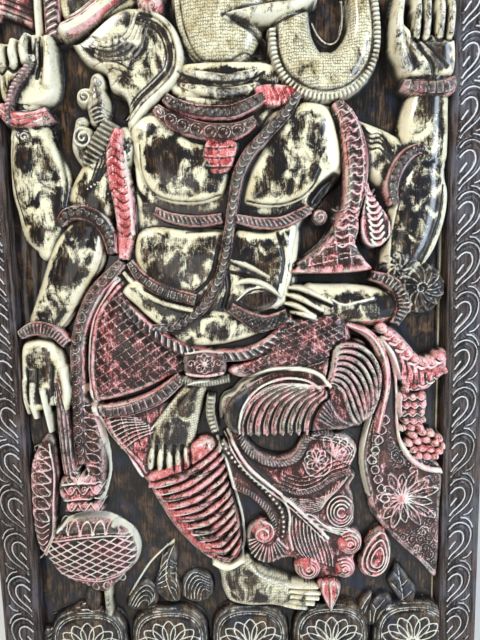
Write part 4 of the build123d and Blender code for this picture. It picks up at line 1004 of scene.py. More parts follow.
def carve_mace(f):
    f.limb([(-318, 744, 10, 30), (-314, 700, 14, 32), (-312, 640, 16, 32), (-308, 570, 18, 30)], "red",
        worn=0.4, share=0.6)
    for shift in (-9, -3, 4, 10):
        f.ridge([(-320 + shift * 0.5, 735), (-315 + shift, 680), (-312 + shift, 600), (-308 + shift, 556)],
            0.9, 1.8, 0.75, shadow=0.8)
    # leafy sheath over the shaft
    f.patch([(-316, 560), (-262, 560), (-258, 540), (-272, 510), (-322, 510), (-332, 540)], 28, 5, 3,
        share=0.6)
    for index in range(5):
        loop(f, -290, 548, 26, 11, 20 + 35 * index, chalk=0.85)
    for low in (488, 520):
        f.patch([(-326, low), (-250, low), (-256, low + 24), (-318, low + 24)], 29, 6, 4, straight=True,
            share=0.7)
        for step in range(3):
            f.ridge([(-318 + 24 * step, low + 20), (-308 + 24 * step, low + 6), (-296 + 24 * step, low + 20)],
                1, 2.2, 0.9)
            f.scroll(-306 + 24 * step, low + 16, 6, turns=1, half=0.9, rise=2)
        f.ridge([(-322, low + 25), (-288, low + 29), (-252, low + 25)], 1.6, 3, 0.95, shadow=0.8)
    f.patch([(-354, 433), (-336, 456), (-315, 469), (-285, 476), (-251, 474), (-226, 461), (-203, 444),
        (-190, 418), (-190, 397), (-200, 374), (-220, 354), (-236, 336), (-254, 320), (-272, 322),
        (-297, 336), (-326, 349), (-346, 364), (-361, 385), (-369, 403), (-362, 420)], 22, 12, 15,
        crown_reach=60, share=0.5)
    f.fill([(-352, 430), (-220, 442), (-194, 420), (-192, 396), (-206, 370), (-338, 356), (-358, 384),
        (-364, 404)], netting(12.5, 62, 118, dark=0.5, half=1.2, pale=1), 2.5)
    for path in ([(-356, 428), (-320, 438), (-285, 443), (-240, 444), (-200, 436)], [(-350, 366), (-300, 356),
            (-250, 356), (-205, 368)]):
        f.ridge(path, 1.4, 3, 0.9)
        f.parallel(path, 5, 1.2, 2.5, chalk=0.7)
    for step in range(5):
        x = -330 + 24 * step
        f.patch([(x - 9, 450), (x - 7, 460), (x, 466), (x + 7, 460), (x + 9, 450)], 34, 2, 0, "bare")
        f.line([(x - 11, 448), (x - 8, 462), (x, 469), (x + 8, 462), (x + 11, 448)], 1.1, 2, chalk=0.95)
    for step in range(5):
        x = -312 + 20 * step
        loop(f, x, 352, 20, 12, -90 + 8 * (step - 2), chalk=0.9)
    outline = [(-356, 432), (-336, 456), (-315, 469), (-285, 476), (-251, 474), (-226, 461), (-203, 444),
        (-191, 418), (-191, 397), (-200, 374), (-220, 354), (-236, 336), (-254, 322)]
    f.line(outline, 2.4, 2, chalk=1, paint="cream")
    f.limb([(-280, 326, 14, 20), (-284, 300, 18, 18), (-284, 268, 14, 14)], "bare", worn=0)
    f.limb([(-254, 326, 9, 26), (-254, 296, 8, 24), (-253, 256, 8, 18)], worn=0.8, share=0.6)
    # leaves with looped edges along the left border
    f.patch([(-348, 640), (-372, 610), (-388, 560), (-390, 480), (-384, 420), (-364, 396), (-350, 430),
        (-340, 500), (-330, 560), (-332, 620)], 15, 4, 3, share=0.35)
    for step in range(6):
        z = 606 - 26 * step
        loop(f, -340 - 3 * step, z - 8, 42 - step, 22, 168 - 5 * step, chalk=0.95)
        loop(f, -340 - 3 * step, z - 8, 26, 12, 168 - 5 * step, chalk=0.7)
    for step in range(6):
        z = 462 - 12 * step
        f.ridge([(-386 + 2 * step, z), (-372, z - 6), (-356 - 2 * step, z + 2)], 1, 2, 0.9)
    f.ridge([(-366, 400), (-350, 440), (-346, 500), (-340, 560), (-345, 620)], 1.6, 4, 0.85)
    f.line([(-386, 384), (-372, 400), (-352, 440), (-346, 476)], 1.8, 3, chalk=0.7)


def carve_right_sash(f):
    f.patch([(264, 800), (290, 800), (300, 720), (303, 650), (318, 600), (384, 560), (386, 470), (384, 350),
        (374, 336), (346, 368), (320, 392), (295, 418), (269, 449), (251, 486), (248, 510), (241, 536),
        (236, 569), (238, 608), (246, 650), (262, 690), (268, 740)], 17, 4, 4, share=0.42)
    f.fill([(276, 452), (300, 432), (340, 440), (382, 470), (380, 350), (350, 374), (300, 420)], speckle(17),
        1.8)
    f.fill([(284, 640), (308, 600), (380, 556), (382, 500), (372, 540), (330, 556), (290, 560)], speckle(17),
        1.8)
    f.band([(272, 690, 10, 24), (262, 640, 11, 24), (260, 590, 11, 24), (264, 545, 9, 22), (278, 512, 6, 20)],
        studs, 17, core=0.35, lip=2.2)
    for angle, reach in ((-128, 52), (-104, 62), (-80, 50), (-56, 66), (-32, 78), (-10, 60), (12, 72),
            (36, 56), (62, 60), (88, 46), (116, 52), (146, 40), (178, 46), (208, 38)):
        loop(f, 309, 500, reach, 15, angle, half=1, rise=2.2)
        turn = math.radians(angle)
        f.line([spoke(309, 500, turn, 0.15 * reach), spoke(309, 500, turn, 0.8 * reach)], 0.8, 1.4, chalk=0.7)
    for step in range(9):
        f.ridge([(254 + 6 * abs(step - 4), 660 - 19 * step), (246 + 6 * abs(step - 4), 652 - 19 * step),
            (252 + 6 * abs(step - 4), 643 - 19 * step), (262 + 6 * abs(step - 4), 650 - 19 * step)], 1, 2,
            0.85, closed=True, shadow=0.8)
    f.bead(309, 500, 9, 4)
    for x, z, radius in ((352, 430, 12), (340, 396, 9), (366, 466, 10), (356, 530, 12), (330, 552, 10)):
        f.scroll(x, z, radius, turns=1.3, start=30 * radius, half=0.9, rise=1.6, chalk=0.7)
    edge = [(248, 505), (260, 462), (295, 420), (346, 372), (374, 340)]
    f.ridge(edge, 2, 3, 0.5, shadow=0.8)
    f.parallel(edge, 6, 1, 1.8, chalk=0.6)
    edge = [(268, 790), (270, 745), (266, 700), (250, 655), (239, 608), (236, 569), (241, 536), (249, 505)]
    f.ridge(edge, 2.6, 4, 0.9, paint="cream", shadow=-0.8)
    f.parallel(edge, 7, 0.9, 1.8, chalk=0.6)
    f.band([(204, 832, 5, 30), (244, 813, 9, 38), (268, 774, 10, 40), (276, 725, 10, 36), (270, 675, 9, 30),
        (262, 630, 8, 26)], None, 8, lip=3)
    f.ridge([(204, 832), (244, 813), (268, 774), (276, 725), (270, 675), (262, 630)], 1.6, 4, 0.8, shadow=0.8)
    # upper tail with its turned, scalloped edge
    f.patch([(272, 832), (300, 814), (320, 792), (341, 770), (369, 776), (386, 781), (388, 748), (384, 736),
        (369, 722), (354, 708), (333, 704), (313, 708), (300, 730), (286, 762), (268, 800)], 27, 5, 4,
        share=0.8)
    for x, z in ((268, 824), (280, 814), (292, 803), (303, 790), (314, 777), (327, 766), (342, 759),
            (358, 760), (373, 768)):
        f.boss(x, z, 13, 11, 35, tilt=-40, squareness=3)
        f.ridge([(x - 10, z - 7), (x - 1, z - 10), (x + 10, z - 3)], 2.2, 2, 1, shadow=-0.8)
        f.line([(x - 7, z - 2), (x, z - 4), (x + 7, z + 1)], 1.2, 1, chalk=0.7)
    for step in range(6):
        share = step / 5
        f.boss(384 - 70 * share, 742 - 34 * share, 9, 8, 31, squareness=3)
        f.ridge([(392 - 70 * share, 738 - 34 * share), (384 - 70 * share, 734 - 34 * share),
            (376 - 70 * share, 738 - 34 * share)], 1.1, 1.8, 0.9, shadow=0.8)
    for step in range(5):
        f.ridge([(300 + 12 * step, 774 - 9 * step), (306 + 11 * step, 752 - 7 * step),
            (304 + 12 * step, 730 - 3 * step)], 0.9, 1.4, 0.7, shadow=0.8)
    f.patch([(300, 700), (330, 706), (354, 700), (352, 660), (345, 640), (318, 636), (303, 660)], 24, 4, 3,
        share=0.8)
    for row in range(5):
        for column in range(3):
            x = 310 + 16 * column + 4 * (row % 2)
            z = 696 - 15 * row
            f.boss(x, z, 8, 7, 30, squareness=3)
            f.ridge([(x - 7, z - 2), (x, z - 7), (x + 7, z - 2)], 1.1, 1.5, 0.9, shadow=0.8)
    for x, z in ((330, 622), (346, 627), (362, 624), (377, 614), (322, 606), (338, 610), (354, 612),
            (370, 606), (386, 600), (330, 594), (346, 596), (362, 594), (378, 590), (340, 582), (356, 580),
            (370, 580)):
        f.boss(x, z, 9, 8, 30, squareness=3)
        f.ridge([(x - 7, z - 3), (x, z - 7), (x + 7, z - 2)], 1.8, 1.4, 1, shadow=0.7)
    ridge = [(267, 800), (284, 778), (294, 749), (300, 710), (301, 659), (304, 622), (314, 594), (330, 572),
        (354, 557), (386, 550)]
    f.ridge(ridge, 5, 9, 0.95, shadow=-0.9)


def carve_centre_tail(f):
    f.patch([(2, 640), (20, 612), (60, 574), (104, 574), (138, 622), (177, 633), (211, 622), (229, 594),
        (218, 561), (226, 543), (216, 522), (222, 501), (224, 454), (216, 438), (236, 422), (239, 395),
        (224, 379), (227, 352), (212, 336), (186, 337), (166, 338), (131, 333), (108, 350), (108, 377),
        (86, 378), (55, 368), (25, 385), (16, 425), (24, 449), (42, 459), (60, 460), (60, 474), (40, 496),
        (-1, 517), (-30, 554)], 16, 5, 4, share=0.6)
    f.patch([(26, 626), (40, 600), (74, 586), (104, 590), (123, 612), (124, 634), (70, 640)], 2, 2, 0, "bare")
    f.band([(6, 634, 7, 24), (22, 602, 9, 28), (50, 581, 9, 30), (84, 574, 9, 30), (114, 586, 9, 30),
        (137, 624, 8, 28), (167, 631, 6, 26), (190, 618, 5, 24)], rope, 6, lip=1.8, core=0.4)
    f.band([(-26, 618, 5, 24), (0, 579, 8, 26), (29, 548, 9, 27), (60, 516, 9, 27), (82, 484, 9, 26),
        (88, 452, 8, 24), (84, 423, 5, 22)], beads, 10, core=0.1, lip=1.6)
    f.band([(-29, 582, 4, 18), (-3, 536, 6, 21), (31, 510, 7, 22), (58, 482, 8, 23), (71, 453, 7, 22),
        (68, 424, 5, 20)], rope, 6, core=0.4, lip=1.2)
    # the band over the ridge, with its flower and palmette
    flow(f, [(70, 532), (117, 513), (152, 521), (182, 541), (216, 551)], [(96, 552), (124, 544), (150, 552),
        (172, 570), (196, 578)], 5, chalk=0.7)
    f.band([(83, 523, 4, 25), (117, 514, 6, 26), (152, 522, 6, 26), (182, 541, 6, 26), (216, 552, 4, 24)],
        rope, 5, core=0.4, lip=1.2)
    rosette(f, 150, 578, 22, 8, chalk=0.85)
    f.ridge([(126, 572), (136, 550), (158, 546), (176, 560), (178, 584)], 1.1, 2.4, 0.85, shadow=0.8)
    for index in range(5):
        loop(f, 182, 584, 42, 15, 112 - 30 * index)
        loop(f, 182, 584, 27, 7, 112 - 30 * index, chalk=0.6)
    for distance in (0, -5, -10):
        f.parallel([(140, 628), (177, 624), (205, 614), (222, 592), (212, 566)], distance, 0.9, 1.8,
            chalk=0.8, shadow=0.8)
    # strands that fan out of the ridge
    flow(f, [(87, 507), (122, 501), (162, 505), (194, 523), (214, 548)], [(112, 483), (142, 475), (160, 482),
        (165, 496), (168, 512)], 8, chalk=0.75)
    f.dome(196, 475, 29, 34, 26, "red", worn=0.3, squareness=2.6, share=0.75)
    for scale in (0.92, 0.7, 0.5, 0.28):
        f.ridge([spoke(196, 475, k, 28 * scale, 33 * scale) for k in np.linspace(0.6, 5.8, 9)], 1.2, 2.4, 0.9)
    flow(f, [(112, 478), (142, 468), (171, 446), (214, 437)], [(146, 450), (166, 439), (186, 431),
        (206, 425)], 4, half=1.3, rise=2.6, chalk=0.85)
    flow(f, [(104, 468), (104, 436), (112, 404), (124, 386)], [(166, 427), (172, 408), (179, 386),
        (181, 364)], 10, half=1.1, rise=2.4, chalk=0.75)
    main = [(-13, 635), (1, 605), (24, 568), (63, 531), (87, 510), (117, 481), (146, 451), (171, 424)]
    f.ridge(main, 3.4, 8, 0.8, shadow=-0.9)
    f.parallel(main, -8, 1.6, 5, chalk=0.7, shadow=-0.9)
    f.ridge([(87, 510), (99, 473), (98, 436), (104, 401)], 2.4, 6, 0.75, shadow=-0.9)
    # volute with a ribbed foot
    f.boss(58, 408, 40, 38, 22, share=0.7)
    for step in range(13):
        turn = math.radians(176 + 15 * step)
        f.ridge([spoke(56, 424, turn, 18, 16), spoke(58, 410, turn - 0.2, 38, 36)], 1, 2.2, 0.8)
    f.boss(49, 436, 25, 25, 30, share=0.85)
    f.scroll(49, 436, 22, turns=1.9, start=100, turn=-1, half=1.2, rise=4, chalk=0.85)
    # curled lobes with doubled outlines
    for x, z, size, turn in ((212, 411, 27, 1), (203, 360, 23, 1), (134, 362, 27, -1)):
        f.boss(x, z, size, size, 27, squareness=2.8)
        for scale, chalk in ((0.92, 0.9), (0.7, 0.75), (0.46, 0.75)):
            curl = [spoke(x, z, math.radians(150 - turn * (20 + 38 * k)), size * (scale * (1 - 0.035 * k)))
                for k in range(8)]
            f.ridge(curl, 1, 2.6, chalk, shadow=0.9 * turn)
        f.scroll(x, z, 7, turns=1, half=1.1, rise=2.5)
    f.patch([(150, 334), (181, 340), (198, 322), (192, 299), (176, 272), (160, 299)], 25, 8, 5)
    for x in (160, 174, 188):
        f.ridge([(x, 332), (x + 2, 306), (176, 276)], 1.1, 2.5, 0.7, shadow=0.8)
    # drop beside the lobes
    f.patch([(276, 440), (251, 422), (231, 379), (236, 346), (262, 336), (286, 354), (295, 394), (287, 424)],
        20, 5, 3, share=0.8)
    for scale in (0.9, 0.66, 0.42):
        f.ridge([(268 + scale * (x - 268), 376 + scale * (z - 376)) for x, z in ((278, 436), (252, 420),
            (234, 379), (238, 350), (262, 340), (284, 357), (291, 394))], 1.2, 2.4, 0.9, closed=True,
            shadow=0.8)


def carve_hanging_scrolls(f):
    """Ear-drop scrolls between the ear and the left shoulder."""
    f.dome(-219, 1256, 15, 20, 24, share=0.75)
    f.limb([(-222, 1248, 14, 22), (-220, 1222, 22, 26), (-222, 1196, 16, 22)], share=0.6)
    f.dome(-241, 1233, 18, 18, 22, worn=0.8, share=0.75)
    f.scroll(-241, 1233, 15, turns=1.7, start=20, half=1.3, rise=4)
    f.limb([(-250, 1190, 13, 24), (-258, 1150, 12, 26), (-242, 1122, 14, 24)], worn=0.9, share=0.7)
    f.dome(-246, 1164, 21, 22, 26, worn=0.9, squareness=3, share=0.75)
    f.scroll(-246, 1164, 18, turns=1.8, start=60, half=1.4, rise=4, chalk=0.85)
    f.band([(-198, 1192, 14, 28), (-212, 1166, 18, 32), (-232, 1134, 18, 30), (-242, 1116, 12, 26)], ribs, 9,
        "cream", relief=3.5, lip=1, pale=0.7)
    for step in range(5):
        f.ridge([(-234 + 3 * step, 1214 - 6 * step), (-218 + 3 * step, 1219 - 6 * step),
            (-204, 1212 - 6 * step)], 1, 2, 0.65, shadow=0.8)


LOTUS_HALF = 76
LOTUS_SPRING = 205
LOTUS_RISE = 80


def lotus_arch(centre, shrink, foot_z):
    """The squarish arch of one lotus petal, drawn in by shrink."""
    points = [(centre - LOTUS_HALF + shrink, foot_z)]
    for k in range(13):
        turn = math.pi * (1 - k / 12)
        u = math.copysign(abs(math.cos(turn)) ** 0.72, math.cos(turn))
        z = LOTUS_SPRING + (LOTUS_RISE - shrink) * math.sin(turn) ** 0.62
        points.append((centre + (LOTUS_HALF - shrink) * u, z))
    return points + [(centre + LOTUS_HALF - shrink, foot_z)]


def carve_lotus(f):
    pitch = 158
    foot = 96
    waist = LOTUS_HALF - 24
    for index in range(-2, 3):
        centre = 20 + index * pitch
        f.patch(lotus_arch(centre, 0, 160) + [(centre + waist, foot), (centre - waist, foot)], 20, 9, 7,
            "bare", crown_reach=50)
        for shrink, chalk in ((4, 0.7), (11, 0.9), (15, 0.85)):
            f.ridge(lotus_arch(centre, shrink, 170), 1.2, -1.8, 0.7 * chalk, steps=3)
        for turn in range(-78, 79, 26):
            loop(f, centre + 8 * math.sin(math.radians(-turn)), 208, 52, 24, 90 + turn, rise=-1.8, chalk=0.88,
                half=1.15)
        f.dome(centre, 204, 12, 12, 30, "bare", worn=0)
        f.line(small_ring(centre, 204, 11), 1.1, 1.5, chalk=0.9, closed=True)
    f.band([(-386, 88, 12, 24), (0, 88, 12, 24), (386, 88, 12, 24)], discs, 20, "bare", pale=0.6)


def leaf(f, outline, ribs_along, rise=12):
    """A low leaf with pale cut veins."""
    f.patch(outline, rise, 6, 3, "bare")
    for vein in ribs_along:
        f.ridge(vein, 1, -1.8, 0.75, shadow=0.8)


def carve_foliage(f):
    leaf(f, [(-122, 414), (-142, 388), (-158, 352), (-164, 318), (-144, 292), (-116, 292), (-112, 322),
        (-126, 350), (-116, 384)], [[(-124, 408), (-138, 372), (-140, 336),
        (-126, 296)]] + [[(-137 - 0.03 * k * k, 392 - 13 * k), (-147 - 0.6 * k, 378 - 11 * k),
        (-152 - 1.2 * k, 362 - 8 * k)] for k in range(-1, 6)] + [[(-132, 380 - 14 * k), (-124, 372 - 14 * k),
        (-121, 360 - 14 * k)] for k in range(5)])
    f.ridge([(-216, 300), (-192, 340), (-166, 376), (-124, 414)], 1.6, 2.5, 0.9, paint="cream")
    leaf(f, [(-222, 282), (-204, 318), (-180, 338), (-160, 322), (-158, 290), (-180, 270)], [], rise=9)
    flow(f, [(-216, 284), (-200, 312), (-180, 326), (-166, 312), (-168, 292)], [(-200, 280), (-192, 292),
        (-184, 296), (-178, 292), (-178, 284)], 4, rise=-1.8)
    leaf(f, [(-112, 300), (-110, 336), (-88, 356), (-56, 346), (-48, 318), (-58, 294), (-84, 286)], [],
        rise=9)
    flow(f, [(-106, 298), (-104, 328), (-86, 350), (-58, 338)], [(-76, 292), (-74, 306), (-68, 316),
        (-58, 310)], 6, rise=-1.8, chalk=0.75)
    flow(f, [(-372, 262), (-340, 272), (-316, 262), (-306, 240)], [(-360, 232), (-340, 240), (-326, 234),
        (-320, 224)], 4, rise=-1.8, chalk=0.7)
    flow(f, [(-300, 292), (-276, 300), (-262, 284), (-262, 262)], [(-296, 262), (-284, 270), (-276, 262),
        (-276, 250)], 4, rise=-1.8, chalk=0.7)
    leaf(f, [(250, 231), (250, 262), (262, 288), (290, 297), (303, 276), (300, 244), (280, 231)],
        [[(262, 236), (266, 262), (284, 286)], [(276, 236), (282, 258), (294, 272)], [(256, 240), (256, 262)],
        [(268, 262), (260, 276)]])
    leaf(f, [(282, 231), (308, 270), (310, 284), (290, 320), (300, 350), (309, 362), (330, 332), (346, 308),
        (340, 277), (312, 240)], [[(292, 240), (318, 280), (312, 330), (308, 356)], [(318, 284), (336, 302)],
        [(314, 300), (298, 318)], [(314, 312), (328, 326)], [(312, 326), (302, 342)],
        [(306, 262), (330, 272)]])
    leaf(f, [(318, 252), (338, 268), (359, 248), (360, 231), (330, 230)],
        [[(322, 240), (340, 258), (356, 240)], [(332, 236), (342, 250)]])
    leaf(f, [(222, 250), (232, 276), (250, 300), (262, 300), (254, 268), (246, 240)],
        [[(232, 252), (244, 278), (256, 296)], [(240, 248), (250, 272)]])
    leaf(f, [(-386, 240), (-369, 244), (-359, 269), (-328, 285), (-303, 296), (-262, 282), (-262, 240),
        (-300, 220), (-330, 215), (-386, 212)], [[(-380, 224), (-350, 244), (-312, 252), (-270, 250)],
        [(-380, 216), (-340, 230), (-300, 236)], [(-372, 238), (-350, 258), (-312, 272), (-276, 268)],
        [(-340, 276), (-310, 286)], [(-340, 226), (-334, 250), (-320, 274)], [(-310, 232), (-302, 256),
        (-290, 276)]])


def carve_ground(f):
    """The sunken ground: long shallow gouge marks, and a pale ridge along its right edge."""
    px, pz = np.meshgrid(f.x, f.z)
    wave = np.sin(px / 9.0 + 2.2 * np.sin(pz / 61.0)) * np.sin(px / 4.1 + pz / 83.0)
    f.height += 0.35 * wave
    edge = OPENING_RIGHT - 7.0
    f.ridge([(edge, 72), (edge, 1960)], 1.3, 1.5, 0.55, paint="cream")


def carve_figure(f):
    for carve in (carve_ground, carve_foliage, carve_lotus, carve_crown, carve_head, carve_hanging_scrolls,
            carve_torso, carve_left_raised_arm, carve_right_raised_arm, carve_right_lower_arm,
            carve_left_lower_arm, carve_scarves, carve_neck, carve_trunk, carve_torso_bands, carve_mace,
            carve_right_sash, carve_centre_tail, carve_standing_leg, carve_left_leg, carve_right_leg):
        carve(f)
    # the tallest wood stays close to the thickness of the real plank
    over = np.maximum(f.height - TALL_RELIEF, 0)
    f.height = np.minimum(f.height, TALL_RELIEF) + TALL_SPARE * np.tanh(over / TALL_SPARE)
    f.wash_shade_and_highlight()


# The leaf scroll of the frame. A leaf is drawn with u across the band and v along it.
# Each row has its places, half width, rise, chalk and the share of the shadow.
LEAF_LINES = (
    ([(0, 0.02), (5, 0.11), (15, 0.21), (25, 0.31), (34, 0.43), (40, 0.60), (41, 0.78), (35, 0.92),
        (22, 0.99), (9, 0.95), (0, 0.84)], 1.2, 2.6, 0.85, 1),
    ([(1, 0.08), (10, 0.20), (20, 0.32), (29, 0.45), (34, 0.60), (35, 0.74), (30, 0.84), (21, 0.90),
        (10, 0.86), (1, 0.76)], 0.9, 1.6, 0.35, 0.8),
    ([(0, 0.15), (6, 0.25), (14, 0.34), (22, 0.45), (27, 0.57), (27, 0.69), (23, 0.77), (15, 0.79),
        (7, 0.74), (1, 0.66)], 1.3, 2.6, 0.95, 1),
    ([(2, 0.38), (8, 0.48), (12, 0.54)], 1.4, 2.0, 0.95, 1),
    ([(22, 1.10), (32, 1.08), (40, 0.99), (44, 0.88)], 1.3, 2.0, 0.85, 1),
    ([(27, 0.16), (36, 0.20), (43, 0.30)], 1.2, 1.8, 0.8, 1),
)


def carve_border(f, place, count, pitch, start, flip):
    """Nested curls cut into a band, their cuts filled with pale paint."""
    for index in range(-1, count + 1):
        base = start + index * pitch
        for path, half, rise, chalk, shadow in LEAF_LINES:
            points = [place(u, base + v * pitch) for u, v in path]
            f.ridge(points, half, rise, chalk, shadow=flip * shadow)
    f.wash_shade_and_highlight()


# Boards cut from a carving

def placed(name, data):
    """A new object in the scene."""
    made = bpy.data.objects.new(name, data)
    bpy.context.scene.collection.objects.link(made)
    return made


def board(name, f, x_low, x_high, z_low, z_high, front_y, back_y, front, back, replaced):
    """A closed block whose front is the carved surface. front and back are its two materials."""
    mesh = bpy.data.meshes.new(name)
    sheet = bmesh.new()
    bmesh.ops.create_grid(sheet, x_segments=f.columns, y_segments=f.rows, size=0.5)
    margin = f.margin
    rows, columns = f.rows, f.columns
    heights = f.height[margin:margin + rows + 1, margin:margin + columns + 1]
    sheet.verts.ensure_lookup_table()
    for vertex in sheet.verts:
        column = round((vertex.co.x + 0.5) * columns)
        row = round((vertex.co.y + 0.5) * rows)
        vertex.co = ((x_low + column * f.step_x) * MM, (front_y - heights[row, column]) * MM,
            (z_low + row * f.step_z) * MM)
        vertex.index = row * (columns + 1) + column
    sheet.verts.sort(key=lambda vertex: vertex.index)
    rim = [edge for edge in sheet.edges if edge.is_boundary]
    pulled = bmesh.ops.extrude_edge_only(sheet, edges=rim)["geom"]
    for vertex in pulled:
        if isinstance(vertex, bmesh.types.BMVert):
            vertex.co.y = back_y * MM
    loop = [edge for edge in pulled if isinstance(edge, bmesh.types.BMEdge) and edge.is_boundary]
    closing = bmesh.ops.edgeloop_fill(sheet, edges=loop)["faces"]
    bmesh.ops.recalc_face_normals(sheet, faces=sheet.faces)
    for face in sheet.faces:
        face.material_index = 1
        face.smooth = False
    front_count = rows * columns
    sheet.faces.ensure_lookup_table()
    for face in sheet.faces[:front_count]:
        face.material_index = 0
        face.smooth = True
    for face in closing:
        if face.normal.y < 0:
            face.normal_flip()
    for edge in rim:
        edge.smooth = False
    sheet.to_mesh(mesh)
    sheet.free()
    paint_masks(mesh, f, rows, columns, margin)
    bake_map(mesh, x_low, x_high, z_low, z_high, front_count)
    shade_as_carved(mesh, f, rows, columns, margin)
    mesh.materials.append(front)
    mesh.materials.append(back)
    piece = placed(name, mesh)
    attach(piece, "root")
    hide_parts(*replaced)
    return piece


def paint_masks(mesh, f, rows, columns, margin):
    """Carries the masks to the front's points as two colour attributes."""
    total = len(mesh.vertices)
    front_total = (rows + 1) * (columns + 1)
    # The fourth channel of the first attribute is dark wash with painted shade; the edge channel of the
    # second is rubbing with painted highlight.
    for title, names in (("paint_and_shade", ("cream", "red", "chalk", "hollow")),
            ("wear_and_highlight", ("rub", "hatch", "edge", "bare"))):
        values = np.zeros((total, 4))
        for channel, name in enumerate(names):
            mask = f.masks[name][margin:margin + rows + 1, margin:margin + columns + 1]
            values[:front_total, channel] = mask.ravel()
        layer = mesh.attributes.new(title, "FLOAT_COLOR", "POINT")
        layer.data.foreach_set("color", values.astype(np.float32).ravel())


def bake_map(mesh, x_low, x_high, z_low, z_high, front_count):
    """A flat map: the front over most of the square, the sides and back in a strip beside it."""
    front_share = 0.94
    strip_start = 0.96
    strip_width = 0.03
    points = np.empty(len(mesh.vertices) * 3)
    mesh.vertices.foreach_get("co", points)
    points = points.reshape(-1, 3) / MM
    corners = np.empty(len(mesh.loops), np.int64)
    mesh.loops.foreach_get("vertex_index", corners)
    u = (points[corners, 0] - x_low) / (x_high - x_low)
    v = (points[corners, 2] - z_low) / (z_high - z_low)
    front = np.arange(len(corners)) < front_count * 4
    u = np.where(front, u * front_share, strip_start + u * strip_width)
    layer = mesh.uv_layers.new(name="OFBake")
    layer.data.foreach_set("uv", np.stack([u, v * 0.998 + 0.001], 1).astype(np.float32).ravel())


def shade_as_carved(mesh, f, rows, columns, margin):
    """Front normals from the heights themselves, so that neighbouring boards shade as one surface.
    All other faces are shaded flat."""
    slope_z, slope_x = np.gradient(f.height, f.step_z, f.step_x)
    inner = (slice(margin, margin + rows + 1), slice(margin, margin + columns + 1))
    across = slope_x[inner]
    upward = slope_z[inner]
    normals = np.stack([-across, -np.ones_like(across), -upward], -1)
    normals /= np.linalg.norm(normals, axis=-1, keepdims=True)
    counts = np.empty(len(mesh.polygons), np.int64)
    mesh.polygons.foreach_get("loop_total", counts)
    flat = np.empty(len(mesh.polygons) * 3)
    mesh.polygons.foreach_get("normal", flat)
    spread = np.repeat(flat.reshape(-1, 3), counts, axis=0)
    corners = np.empty(len(mesh.loops), np.int64)
    mesh.loops.foreach_get("vertex_index", corners)
    front = rows * columns * 4
    spread[:front] = normals.reshape(-1, 3)[corners[:front]]
    mesh.normals_split_custom_set(spread.tolist())


# Shader expressions

class Shade:
    """A socket of a node tree that can be added, multiplied and compared like a number."""

    def __init__(self, tree, socket):
        self.tree = tree
        self.socket = socket

    def node(self, kind, settings=None, **values):
        made = self.tree.nodes.new(kind)
        for key, value in (settings or {}).items():
            setattr(made, key, value)
        for key, value in values.items():
            place = int(key[1:]) if key[0] == "_" and key[1:].isdigit() else key.replace("_", " ")
            socket = made.inputs[place]
            if isinstance(value, Shade):
                self.tree.links.new(value.socket, socket)
            else:
                socket.default_value = value
        return made

    def out(self, made, name=0):
        return Shade(self.tree, made.outputs[name])

    def math(self, operation, other=0.0, clamp=False):
        return self.out(self.node("ShaderNodeMath", {"operation": operation, "use_clamp": clamp}, _0=self,
            _1=other))

    def __add__(self, other):
        return self.math("ADD", other)

    __radd__ = __add__

    def __sub__(self, other):
        return self.math("SUBTRACT", other)

    def __rsub__(self, other):
        return self.out(self.node("ShaderNodeMath", {"operation": "SUBTRACT"}, _0=other, _1=self))

    def __mul__(self, other):
        return self.math("MULTIPLY", other)

    __rmul__ = __mul__

    def clamped(self):
        return self.math("ADD", 0.0, clamp=True)

    def above(self, low, high):
        """0 at low, 1 at high, smooth between them."""
        made = self.node("ShaderNodeMapRange", {"interpolation_type": "SMOOTHSTEP"}, Value=self, From_Min=low,
            From_Max=high)
        return self.out(made)

    def mix(self, other, share):
        """This colour with another laid over it."""
        made = self.node("ShaderNodeMix", {"data_type": "RGBA"}, _0=share, _6=self, _7=other)
        return self.out(made, 2)


def colour(red, green, blue):
    return (red, green, blue, 1.0)


WOOD_BLACK = colour(0.008, 0.006, 0.005)
WOOD_BROWN = colour(0.175, 0.095, 0.045)
WOOD_NAVY_AND_SHEEN = colour(0.013, 0.019, 0.040)
WOOD_DUST = colour(0.42, 0.35, 0.22)
STAIN_MAROON = colour(0.030, 0.008, 0.007)
STAIN_RED = colour(0.20, 0.075, 0.042)
CREAM_OLD = colour(0.60, 0.50, 0.26)
CREAM_PALE = colour(0.86, 0.80, 0.56)
CREAM_BROWNED = colour(0.20, 0.13, 0.055)
CREAM_GREY = colour(0.56, 0.57, 0.58)
CORAL_DEEP = colour(0.40, 0.026, 0.030)
CORAL = colour(0.70, 0.17, 0.16)
CORAL_PALE = colour(0.92, 0.70, 0.70)
BUFF = colour(0.80, 0.70, 0.58)
CHALK = colour(0.88, 0.84, 0.70)
CHALK_PINK = colour(0.88, 0.56, 0.56)
WASH_AND_SHADE_BLACK = colour(0.006, 0.005, 0.005)
HIDE_CUTS = colour(0.07, 0.05, 0.03)
FRAME_BLACK = colour(0.010, 0.007, 0.006)
FRAME_BROWN = colour(0.120, 0.080, 0.064)
FRAME_PAINTED_SHEEN = colour(0.11, 0.11, 0.135)
FRAME_WASH_AND_SHADE = colour(0.004, 0.003, 0.004)
FRAME_CHALK = colour(0.68, 0.67, 0.66)
PORES = colour(0.02, 0.014, 0.01)
IRON_BLACK = colour(0.05, 0.045, 0.042)
IRON_RUST = colour(0.16, 0.075, 0.04)


